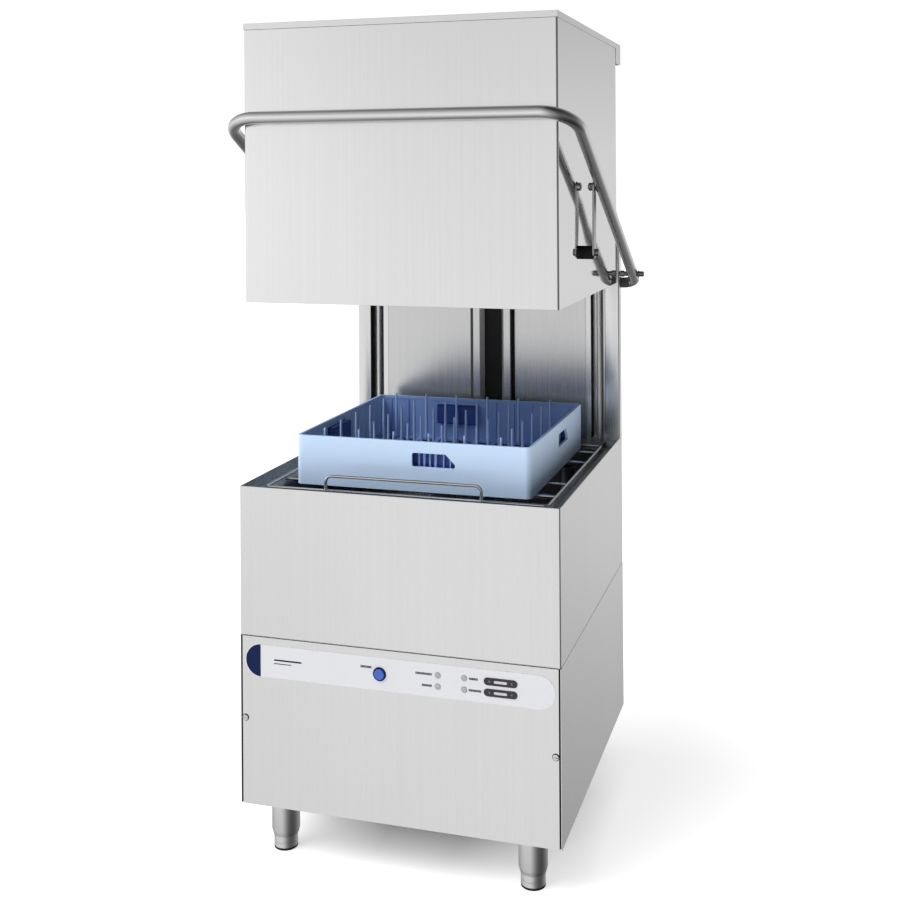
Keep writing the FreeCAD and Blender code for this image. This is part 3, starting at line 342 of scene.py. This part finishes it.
def wire(name, points, radius):
    """A round wire along points, as a mesh."""
    curve = bpy.data.curves.new(name, "CURVE")
    curve.dimensions = "3D"
    curve.bevel_depth = radius
    curve.bevel_resolution = 2
    curve.use_fill_caps = True
    spline = curve.splines.new("POLY")
    spline.points.add(len(points) - 1)
    for target, point in zip(spline.points, points):
        target.co = (*point, 1)
    holder = bpy.data.objects.new(name, curve)
    mesh = bpy.data.meshes.new_from_object(holder)
    bpy.data.objects.remove(holder)
    return add_object(name, mesh)


def flat(name, outlines, y, thick, round_edge=0.0):
    """A thin plate that faces the front. Its outlines are (x, z) millimetres; the later ones
    are holes. Its back is at y."""
    curve = bpy.data.curves.new(name, "CURVE")
    curve.dimensions = "2D"
    curve.fill_mode = "BOTH"
    curve.extrude = thick / 2000 - round_edge
    curve.bevel_depth = round_edge
    curve.bevel_resolution = 1
    for outline in outlines:
        spline = curve.splines.new("POLY")
        spline.points.add(len(outline) - 1)
        for target, (x, z) in zip(spline.points, outline):
            target.co = (x / 1000, z / 1000, 0, 1)
        spline.use_cyclic_u = True
    holder = bpy.data.objects.new(name, curve)
    mesh = bpy.data.meshes.new_from_object(holder)
    bpy.data.objects.remove(holder)
    upright = Matrix.Rotation(math.pi / 2, 4, "X")
    mesh.transform(Matrix.Translation(at(0, y - thick / 2, 0)) @ upright)
    return add_object(name, mesh)


def arc(x, z, radius, start, end, steps=24):
    """Points of an arc, with angles in degrees."""
    points = []
    for i in range(steps + 1):
        angle = math.radians(start + (end - start) * i / steps)
        points.append((x + radius * math.cos(angle), z + radius * math.sin(angle)))
    return points


def disc(x, z, radius, steps=32):
    return arc(x, z, radius, 0, 360 - 360 / steps, steps - 1)


def pill(x, z, half, radius):
    """Outline of a bar with round ends."""
    return arc(x + half - radius, z, radius, -90, 90) + arc(x - half + radius, z, radius, 90, 270)


def block(x0, z0, x1, z1):
    return [(x0, z0), (x1, z0), (x1, z1), (x0, z1)]


# ---------------------------------------------------------------- lower body
def lower_body():
    for node in ("side_panels", "tank_casing", "rear_panel", "chassis", "front_panel",
                 "rear_cover", "foot_sleeves", "columns"):
        dress(node)
    dress("rear_walls", "wall_steel")
    mast = dress("mast", "wall_steel")
    # Painted shade: the mast's faces that look sideways and forward get the darker, duller slope
    # steel.
    mast.data.materials.append(MATERIALS["slope_steel"])
    for face in mast.data.polygons:
        if abs(face.normal.x) > 0.5 and face.normal.y < -0.3:
            face.material_index = 1
    # Dark tank steel: painted shade inside the tank.
    dress("tank", "inner_steel")
    strips()
    shade_strips()
    fixings()


def slab(name, low, high, material, slot="black_rubber", soft=0.0003):
    """A strip or plate of the machine between two drawn corners, with soft edges."""
    bm = bmesh.new()
    bmesh.ops.create_cube(bm, size=1)
    size = at(*high) - at(*low)
    centre = (at(*high) + at(*low)) / 2
    matrix = Matrix.Translation(centre) @ Matrix.Diagonal((*size, 1))
    bmesh.ops.transform(bm, matrix=matrix, verts=bm.verts)
    obj = place(mesh_object(name, bm), "machine", slot, material, 30)
    soften(obj, soft)


def strips():
    """Strips in the seam under the casing and black strips behind the gaps beside the service
    panel.
    """
    slab("seam_strip", (-328, 1.2, 444.3), (328, 12, 445.9), "seam_rubber")
    for side, name in ((-1, "left"), (1, "right")):
        x0, x1 = sorted((side * 325.6, side * 328.4))
        slab("gap_strip_" + name, (x0, 2.2, 107), (x1, 15.5, 443.8), "black_rubber")
        x0, x1 = sorted((side * 328.6, side * 329.4))
        slab("side_seam_strip_" + name, (x0, 12, 444.1), (x1, 680, 445.9), "seam_rubber")


SHADE_STRIP_LOW, SHADE_STRIP_HIGH = 741, 1232    # from the deck to just under the columns' tops


def shade_strips():
    """Dark strips as painted shade in the guide channels, in the mast's slot and beside the mast.
    """
    # Painted shade: black strips line the guide channels.
    for side, name in ((-1, "left"), (1, "right")):
        for part, x_low, x_high in (("inner", 262.1, 263.1), ("outer", 295.9, 296.9)):
            x0, x1 = sorted((side * x_low, side * x_high))
            slab("liner_%s_%s" % (name, part), (x0, 655.3, SHADE_STRIP_LOW), (x1, 681.0, SHADE_STRIP_HIGH),
                 "black_rubber")
        x0, x1 = sorted((side * 262.1, side * 296.9))
        slab("liner_%s_back" % name, (x0, 681.1, SHADE_STRIP_LOW), (x1, 682.0, SHADE_STRIP_HIGH),
             "black_rubber")
    # Painted shade at the back of the mast's slot, and painted shadows in the gaps beside the
    # mast.
    slab("mast_slot_shade", (2.2, 651.9, SHADE_STRIP_LOW + 1), (44.8, 652.9, 1180), "black_rubber")
    slab("mast_shadow_left", (-36.0, 654.2, SHADE_STRIP_LOW), (-23.0, 654.9, SHADE_STRIP_HIGH), "seal_grey")
    slab("mast_shadow_right", (70.0, 654.2, SHADE_STRIP_LOW), (75.5, 654.9, SHADE_STRIP_HIGH), "black_rubber")


SCREW_RADIUS = 4.2


def screw(name, place_at, axis):
    """A pan-head screw with a cross recess, standing on a face of the machine."""
    radius = SCREW_RADIUS
    head = [(0, 2.4), (radius * 0.55, 2.25), (radius * 0.85, 1.7), (radius, 0.9), (radius, 0),
            (0, 0)]
    obj = revolve(name, head, Vector((0, 0, 0)), "Z", 24)
    for x_half, y_half in ((0.55, radius * 0.5), (radius * 0.5, 0.55)):
        cutter = bmesh.new()
        bmesh.ops.create_cube(cutter, size=1)
        scale = Matrix.Diagonal((2 * x_half / 1000, 2 * y_half / 1000, 0.003, 1))
        matrix = Matrix.Translation((0, 0, 0.0028)) @ scale
        bmesh.ops.transform(cutter, matrix=matrix, verts=cutter.verts)
        tool = mesh_object("cutter", cutter)
        cut = obj.modifiers.new("recess", "BOOLEAN")
        cut.operation = "DIFFERENCE"
        cut.solver = "EXACT"
        cut.object = tool
        evaluated = obj.evaluated_get(bpy.context.evaluated_depsgraph_get())
        mesh = bpy.data.meshes.new_from_object(evaluated)
        obj.modifiers.clear()
        obj.data = mesh
        bpy.data.objects.remove(tool)
    turn = Vector(axis).to_track_quat("Z", "X").to_matrix().to_4x4()
    obj.data.transform(Matrix.Translation(place_at) @ turn)
    place(obj, "machine", "bright_steel")


REAR_FACE = 685.05       # just off the rear panels


def fixings():
    """Screws of the rear panels, the type plate, the earth stud and the panel screws' seats."""
    for i, x in enumerate((-318, -160, 0, 160, 318)):
        for row, z in enumerate((117, 434)):
            screw("rear_screw_%d_%d" % (row, i), at(x, REAR_FACE, z), (0, 1, 0))
    for i, z in enumerate((760, 910, 1060, 1210)):
        for side, name in ((-1, "left"), (1, "right")):
            screw("cover_screw_%s_%d" % (name, i), at(side * 322, REAR_FACE, z), (0, 1, 0))
    slab("type_plate", (90, REAR_FACE, 300), (190, 685.6, 360), "bright_steel", "bright_steel")
    for i, width in enumerate((80, 62, 74, 48, 66)):
        top = 350 - 10 * i
        slab("type_plate_line_%d" % i, (98, 685.55, top - 2), (98 + width, 685.75, top),
             "print_grey", soft=0.00005)
    stud = [(0, 14), (2.6, 14), (3, 13.4), (3, 6), (6.5, 6), (6.5, 2), (9, 2), (9, 0), (0, 0)]
    place(revolve("earth_stud", stud, at(-205, REAR_FACE, 160), "Y"), "machine", "bright_steel")
    for side, name in ((-1, "left"), (1, "right")):
        rings = [disc(side * 319, 279, radius) for radius in (7.2, 6.3)]
        ring = flat("screw_seat_" + name, rings, 0, 0.3)
        place(ring, "front_panel", "black_rubber", "black_rubber", 30)


def feet():
    """Adjustable inserts with a rubber sole each."""
    for name in ("foot_front_left", "foot_front_right", "foot_rear_left", "foot_rear_right"):
        low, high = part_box(name)
        centre = Vector(((low[0] + high[0]) / 2, (low[1] + high[1]) / 2, 0))
        profile = [(0, 4.2), (23.2, 4.2), (24.1, 5.4), (24.1, 14.0), (23.4, 14.6), (23.4, 17.0),
                   (24.1, 17.6), (24.1, 48.6), (22.8, 50), (6, 50), (6, 139.5), (5.4, 140),
                   (0, 140)]
        insert = place(revolve(name + ".insert", profile, centre), name, "foot_steel")
        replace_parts(insert, name)
        sole = [(0, 0), (22.6, 0), (24.1, 1.0), (24.1, 3.6), (23.2, 4.2), (0, 4.2)]
        place(revolve(name + ".sole", sole, centre), name, "foot_steel", "black_rubber")


# ---------------------------------------------------------------- controls
LABEL_Z = 397.0
LABEL_FACE = -0.7


def printed(name, outlines, material, y=LABEL_FACE, thick=0.12, slot="label_film"):
    return place(flat(name, outlines, y, thick), "front_panel", slot, material, 0)


def words(name, x0, x1, z, height=4.4):
    """A row of small bars where a printed word would stand."""
    outlines = []
    x = x0
    step = 0
    while x < x1 - 1.0:
        wide = (2.1, 1.6, 2.6, 1.8)[step % 4]
        outlines.append(block(x, z - height / 2, min(x + wide, x1), z + height / 2))
        x += wide + 0.55
        step += 1
    return printed(name, outlines, "print_grey")


LAMPS = ((88, 407.5), (88, 386), (141, 408), (141, 386))
BUTTON_X = -31
DISPLAY_X = 213
DISPLAY_FACE = -1.7


def controls():
    dress("control_label", width=0)
    printed("label_half_disc", [arc(-285, LABEL_Z, 32, 90, 270, 40)], "print_navy")
    words("mark_power", -70.5, -47, 408.6)
    words("mark_program", 43, 77, 408)
    words("mark_door", 56, 76, 386)
    words("mark_tank", 151, 168, 408)
    words("mark_boiler", 150, 175, 386)
    for i, (half, radius) in enumerate(((30, 1.6), (19, 0.8))):
        printed("mark_bar_%d" % i, [pill(-256 + half, 401 - 7 * i, half, radius)], "print_grey")
    dress("lamps", width=0)
    for i, (x, z) in enumerate(LAMPS):
        ring = flat("lamp_rim_%d" % i, [disc(x, z, 6.1), disc(x, z, 5.2)], LABEL_FACE, 0.4)
        place(ring, "front_panel", "lamp_lens", "grey_plastic", 30)
        core = flat("lamp_core_%d" % i, [disc(x, z, 1.6)], -1.6, 0.2)
        place(core, "front_panel", "lamp_lens", "grey_plastic", 30)
    dress("displays", width=0.0002)
    for i, z in enumerate((407.0, 386.0)):
        printed("display_strip_%d" % i, [pill(DISPLAY_X, z, 13, 2.4)], "display_strip",
                DISPLAY_FACE, 0.2, "display_black")
        for end in (-1, 1):
            printed("display_dot_%d_%d" % (i, end + 1), [disc(DISPLAY_X + end * 22, z, 2.2)],
                    "print_dim", DISPLAY_FACE, 0.15, "display_black")
    dress("power_button", width=0)
    rings = [disc(BUTTON_X, LABEL_Z, radius) for radius in (13.2, 10.9)]
    ring = flat("button_rim", rings, LABEL_FACE, 1.6, 0.0003)
    place(ring, "front_panel", "button_blue", "print_navy", 30)
    dress("panel_screw_left", width=0)
    dress("panel_screw_right", width=0)


# ---------------------------------------------------------------- hood and handle
TAIL_Y, TAIL_Z = 715.8, 1107.3    # middle line of the raised handle's inward tails
DIP_X = 0.347                     # the tails' dark dip starts here, in metres from the middle


def hood():
    for node in ("hood_shell", "hood_cap"):
        dress(node, "hood_steel", 0.0005)
    dress("hood_brackets")
    for node in ("hood_bushes", "hood_guide_blocks", "handle_plugs"):
        dress(node, None, 0.0002)
    for node in ("link_left", "link_right"):
        dress(node, "link_steel", 0.0002)
    for node in ("hood_pins", "pivot_bolts"):
        dress(node, "dark_steel", 0.0002)
    bar = dress("handle_bar", width=0)
    bar.data.materials.append(MATERIALS["grip_dip"])
    tail = at(0, TAIL_Y, TAIL_Z)
    for face in bar.data.polygons:
        from_tail = face.center - tail
        if abs(face.center.x) < DIP_X and from_tail.yz.length < 0.03:
            face.material_index = 1
    dress("guide_rods", "rod_steel", 0)


COILS = 62
COIL_STEPS = 14
COIL_RADIUS = 0.0085
COIL_WIRE = 0.00125


def springs():
    """Extension springs behind the rear cover, hooked on the handle's tails."""
    for node in ("spring_left", "spring_right"):
        low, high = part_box(node)
        x = (low[0] + high[0]) / 2
        y = (low[1] + high[1]) / 2
        bottom = low[2] + 0.008
        top = high[2] - 0.024
        points = [Vector((x, y, low[2] - 0.004)), Vector((x, y, bottom - 0.004))]
        for i in range(COILS * COIL_STEPS + 1):
            angle = 2 * math.pi * i / COIL_STEPS
            z = bottom + (top - bottom) * i / (COILS * COIL_STEPS)
            across = COIL_RADIUS * math.cos(angle)
            along = COIL_RADIUS * math.sin(angle)
            points.append(Vector((x + across, y + along, z)))
        points += [Vector((x, y, top + 0.004)), Vector((x, y, high[2] + 0.0005))]
        spring = wire(node + ".coil", points, COIL_WIRE)
        spring.data.materials.append(MATERIALS["bright_steel"])
        smooth(spring, 60)
        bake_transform(spring)
        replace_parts(spring, node)


# ---------------------------------------------------------------- wash chamber and hidden parts
def wash_parts():
    for node in ("upper_hub", "lower_hub", "upper_wash_arm", "lower_wash_arm",
                 "upper_rinse_arm", "lower_rinse_arm", "arm_nuts", "tank_filter",
                 "overflow_pipe", "tank_heater", "riser_pipes"):
        dress(node, width=0.0003 if node in ("upper_wash_arm", "lower_wash_arm") else 0)
    dress("rack_guide", width=0)
    rack()
    for node in ("pump_housing", "impeller", "pump_motor", "suction_hose", "pressure_pipe",
                 "boiler", "boiler_heater", "solenoid_valve", "cable_gland", "drain_pipe",
                 "control_box", "hood_switch"):
        dress(node, width=0)


RACK_WALL = 6.0
RACK_TOP = 101.0
RACK_RIBS = 11
RIB_END = 30                        # from a wall's end to its first rib
# LIT_TURN's wall shows painted light: its inner face and ribs keep the outer faces' light tone.
LIT_TURN = 3                        # the wall whose inner face has the outer faces' tone
POCKET_X0, POCKET_X1 = -1, 98       # the handhold's pocket, along the wall and upwards
POCKET_Z0, POCKET_Z1 = 42, 86
POCKET_DEPTH = 14
POCKET_WALL = 1.6


def rack():
    """The rack in three tones of one blue plastic: walls and rim light, inner faces and floor
    darker as painted shade, and pegs darker as painted shade; one wall's inner face stays light as
    painted light. Ribs stand on its walls and pockets behind its handholds."""
    low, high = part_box("rack")
    body = dress("rack", width=0.0004)
    body.data.materials.append(MATERIALS["rack_inside"])
    body.data.materials.append(MATERIALS["rack_peg"])
    inset = 0.004
    for face in body.data.polygons:
        centre = face.center
        across = min(centre.x - low[0], high[0] - centre.x,
                     centre.y - low[1], high[1] - centre.y)
        on_rim = face.normal.z > 0.5 and centre.z > low[2] + RACK_TOP / 1000 - 0.001
        at_wall = inset < across < RACK_WALL / 1000 + 0.002
        near_floor = centre.z < low[2] + 0.02 and across > inset
        # Painted light and shade: the low-X wall's inner face keeps the light outer tone; the
        # other inner faces and the floor take the darker inner tone, and the pegs the darker peg
        # tone.
        lit_wall = face.normal.x > 0.5 and centre.x < low[0] + 0.01
        if (at_wall or near_floor) and not on_rim and not lit_wall:
            face.material_index = 1
        elif across > 0.02:
            face.material_index = 2
    middle = Vector(((low[0] + high[0]) / 2, (low[1] + high[1]) / 2, low[2]))
    half = (high[0] - low[0]) / 2 * 1000
    for turn in range(4):
        rack_side(turn, middle, half)


def rack_piece(name, boxes, matrix, material):
    """A soft-edged rack piece from boxes (x0, y0, z0, x1, y1, z1) in millimetres."""
    bm = bmesh.new()
    for x0, y0, z0, x1, y1, z1 in boxes:
        made = bmesh.ops.create_cube(bm, size=1)
        size = Vector((x1 - x0, y1 - y0, z1 - z0)) / 1000
        centre = Vector((x0 + x1, y0 + y1, z0 + z1)) / 2000
        spread = Matrix.Translation(centre) @ Matrix.Diagonal((*size, 1))
        bmesh.ops.transform(bm, matrix=spread, verts=made["verts"])
    bmesh.ops.transform(bm, matrix=matrix, verts=bm.verts)
    soften(place(mesh_object(name, bm), "rack", "rack_plastic", material, 30), 0.0003)


def rack_side(turn, middle, half):
    """One wall's ribs and its handhold's pocket, turned round the rack's middle."""
    matrix = Matrix.Translation(middle) @ Matrix.Rotation(math.pi / 2 * turn, 4, "Z")
    inner = -half + RACK_WALL - 0.2
    pitch = 2 * (half - RIB_END) / (RACK_RIBS - 1)
    ribs = []
    for i in range(RACK_RIBS):
        x = -half + RIB_END + pitch * i
        if not 0 < x < POCKET_X1:
            ribs.append((x - 1.2, inner, 5, x + 1.2, inner + 2.4, 94))
    ribs.append((-half + 14, inner, 94, half - 14, inner + 1.6, 96.5))
    # Painted light and shade: the ribs on the lit wall take the light outer tone, the others the
    # darker inner one.
    tone = "rack_plastic" if turn == LIT_TURN else "rack_inside"
    rack_piece("rack_ribs_%d" % turn, ribs, matrix, tone)

    deep = inner + POCKET_DEPTH
    back = deep + POCKET_WALL
    # The pocket's near-black blue is painted shade behind the handhold; the bars in it take the
    # inner faces' darker tone as painted shade.
    rack_piece("rack_pocket_%d" % turn, [
        (POCKET_X0, deep, POCKET_Z0, POCKET_X1, back, POCKET_Z1),
        (POCKET_X0, inner, POCKET_Z1 - POCKET_WALL, POCKET_X1, back, POCKET_Z1),
        (POCKET_X0, inner, POCKET_Z0, POCKET_X1, back, POCKET_Z0 + POCKET_WALL),
        (POCKET_X0, inner, POCKET_Z0, POCKET_X0 + POCKET_WALL, back, POCKET_Z1),
        (POCKET_X1 - POCKET_WALL, inner, POCKET_Z0, POCKET_X1, back, POCKET_Z1),
    ], matrix, "rack_pocket")

    bars = [(x - wide / 2, deep - 6, POCKET_Z0 + 1, x + wide / 2, deep + 0.4, POCKET_Z1 - 1)
            for x, wide in ((14, 3), (25, 4), (37, 3), (49, 5), (66, 3), (80, 3))]
    rack_piece("rack_bars_%d" % turn, bars, matrix, "rack_inside")


# ---------------------------------------------------------------- studio
def floor():
    """A bright floor with a painted shadow under the machine. Polished faces don't mirror it."""
    bm = bmesh.new()
    bmesh.ops.create_grid(bm, x_segments=1, y_segments=1, size=40)
    obj = mesh_object("floor", bm)
    m = Nodes("studio floor")
    cloud = m.noise(3.0, 2.0)
    m.join(m.colour(cloud, shade(0.89), shade(0.90)), m.shader.inputs["Base Color"])
    m.set(Roughness=0.7, Specular_IOR_Level=0.1, Emission_Color=(1, 1, 1, 1))
    split = m.add("ShaderNodeSeparateXYZ")
    m.join(m.object_space, split.inputs[0])
    # Painted shadow: the floor's glow fades from 0.68 to 0.06 towards the middle under the
    # machine.
    reach = []
    for axis in "XY":
        away = m.add("ShaderNodeMath", operation="ABSOLUTE")
        m.join(split.outputs[axis], away.inputs[0])
        reach.append(m.span(away.outputs[0], 1.0, 0.0, 0.08, 0.37))
    under = m.add("ShaderNodeMath", operation="MULTIPLY")
    m.join(reach[0], under.inputs[0])
    m.join(reach[1], under.inputs[1])
    m.join(m.span(under.outputs[0], 0.68, 0.06, 0.0, 0.75), m.shader.inputs["Emission Strength"])
    obj.data.materials.append(m.material)
    obj.visible_glossy = False


# What the steel mirrors round the studio: degrees from the front towards the right, and
# brightness.
SURROUND = ((-180, 0.72), (-140, 0.74), (-90, 1.0), (-60, 1.20), (-34, 1.24), (-22, 1.0),
            (-12, 0.95), (-5, 1.06), (6, 0.80), (20, 0.40), (42, 0.14), (92, 0.14),
            (120, 0.36), (142, 0.76), (162, 0.80), (180, 0.72))
# The same for what lies near the floor.
LOW_SURROUND = ((-180, 0.72), (-90, 0.80), (-50, 0.86), (-30, 0.88), (-18, 1.02), (-6, 1.04),
                (6, 0.80), (20, 0.40), (42, 0.14), (92, 0.14), (120, 0.36), (142, 0.78),
                (162, 0.84), (180, 0.74))
# The heights below run from straight down (0) through the horizon (0.5) to straight up (1).
# How much of SURROUND counts at each height, against LOW_SURROUND.
LEVEL_SHARE = ((0.0, 0.0), (0.36, 0.0), (0.46, 1.0), (1.0, 1.0))
# How bright it is at each height.
FRONT_HEIGHTS = ((0.0, 0.30), (0.15, 0.75), (0.30, 1.0), (0.50, 1.0), (0.55, 0.86),
                 (0.64, 0.80), (0.79, 0.54), (0.92, 0.34), (0.98, 0.18), (1.0, 0.14))
REAR_HEIGHTS = ((0.0, 0.16), (0.12, 0.22), (0.22, 0.36), (0.30, 0.62), (0.37, 0.92),
                (0.46, 1.0), (0.51, 0.96), (0.58, 0.66), (1.0, 0.14))
# How much of the front's heights count at each bearing.
FRONT_SHARE = ((-180, 0.0), (-120, 0.0), (-75, 1.0), (30, 1.0), (75, 0.0), (180, 0.0))


def world():
    """A white studio with a dark screen to the right and a dim ceiling, as mirrored by the
    machine. Straight to the camera it is plain white."""
    scene_world = bpy.data.worlds.new("studio")
    bpy.context.scene.world = scene_world
    scene_world.use_nodes = True
    tree = scene_world.node_tree
    background = tree.nodes["Background"]

    def node(kind, **values):
        made = tree.nodes.new(kind)
        for key, value in values.items():
            setattr(made, key, value)
        return made

    def ramp(stops, source):
        made = node("ShaderNodeValToRGB")
        elements = made.color_ramp.elements
        while len(elements) < len(stops):
            elements.new(0.5)
        for element, (position, value) in zip(elements, stops):
            element.position = position
            element.color = (value, value, value, 1)
        tree.links.new(source, made.inputs["Fac"])
        return made.outputs["Color"]

    split = node("ShaderNodeSeparateXYZ")
    tree.links.new(node("ShaderNodeTexCoord").outputs["Generated"], split.inputs[0])
    flip = node("ShaderNodeMath", operation="MULTIPLY")
    flip.inputs[1].default_value = -1.0
    tree.links.new(split.outputs["Y"], flip.inputs[0])
    turn = node("ShaderNodeMath", operation="ARCTAN2")
    tree.links.new(split.outputs["X"], turn.inputs[0])
    tree.links.new(flip.outputs[0], turn.inputs[1])
    share = node("ShaderNodeMapRange")
    share.inputs["From Min"].default_value = -math.pi
    share.inputs["From Max"].default_value = math.pi
    tree.links.new(turn.outputs[0], share.inputs["Value"])
    bearing = share.outputs["Result"]

    def round_about(stops):
        return ramp([((degrees + 180) / 360, value) for degrees, value in stops], bearing)

    def blend(share_of, first, second):
        made = node("ShaderNodeMix", data_type="RGBA")
        tree.links.new(share_of, made.inputs["Factor"])
        tree.links.new(first, made.inputs[6])
        tree.links.new(second, made.inputs[7])
        return made.outputs[2]

    height = node("ShaderNodeMapRange")
    height.inputs["From Min"].default_value = -1.0
    tree.links.new(split.outputs["Z"], height.inputs["Value"])
    up = height.outputs["Result"]
    around = blend(ramp(LEVEL_SHARE, up), round_about(LOW_SURROUND), round_about(SURROUND))
    heights = blend(round_about(FRONT_SHARE), ramp(REAR_HEIGHTS, up), ramp(FRONT_HEIGHTS, up))
    both = node("ShaderNodeMix", data_type="RGBA", blend_type="MULTIPLY")
    both.inputs["Factor"].default_value = 1.0
    tree.links.new(around, both.inputs[6])
    tree.links.new(heights, both.inputs[7])
    tree.links.new(both.outputs[2], background.inputs["Color"])
    background.inputs["Strength"].default_value = 1.0
    plain = node("ShaderNodeBackground")
    plain.inputs["Strength"].default_value = 1.3
    mix = node("ShaderNodeMixShader")
    tree.links.new(node("ShaderNodeLightPath").outputs["Is Camera Ray"], mix.inputs["Fac"])
    tree.links.new(background.outputs["Background"], mix.inputs[1])
    tree.links.new(plain.outputs["Background"], mix.inputs[2])
    tree.links.new(mix.outputs["Shader"], tree.nodes["World Output"].inputs["Surface"])


SUN_STRENGTH = 2.5
SUN_SPREAD = 50
SUN_WAY = (0.55, 0.45, -1.0)


def sun():
    """One wide, soft sun from the upper left. Polished faces don't mirror it."""
    data = bpy.data.lights.new("soft sun", "SUN")
    data.energy = SUN_STRENGTH
    data.angle = math.radians(SUN_SPREAD)
    light = bpy.data.objects.new("soft sun", data)
    bpy.context.scene.collection.objects.link(light)
    light.rotation_euler = Vector(SUN_WAY).to_track_quat("-Z", "Y").to_euler()
    light.visible_glossy = False


def studio():
    world()
    floor()
    sun()


CAMERA_PLACE = at(841.9, -2311.3, 1366.6)
CAMERA_YAW = 16.83
CAMERA_ROLL = -0.35
CAMERA_LENS = 49.30
CAMERA_SHIFT = -0.3098


def camera():
    data = bpy.data.cameras.new("camera")
    data.sensor_width = 36.0
    data.lens = CAMERA_LENS
    data.shift_y = CAMERA_SHIFT
    obj = bpy.data.objects.new("camera", data)
    bpy.context.scene.collection.objects.link(obj)
    turn = Matrix.Rotation(math.radians(CAMERA_YAW), 4, "Z") @ Matrix.Rotation(math.pi / 2, 4, "X")
    roll = Matrix.Rotation(math.radians(CAMERA_ROLL), 4, "Z")
    obj.matrix_world = Matrix.Translation(CAMERA_PLACE) @ turn @ roll
    bpy.context.scene.camera = obj


bpy.context.scene.view_settings.view_transform = "Standard"
camera()
studio()
lower_body()
feet()
controls()
hood()
springs()
wash_parts()
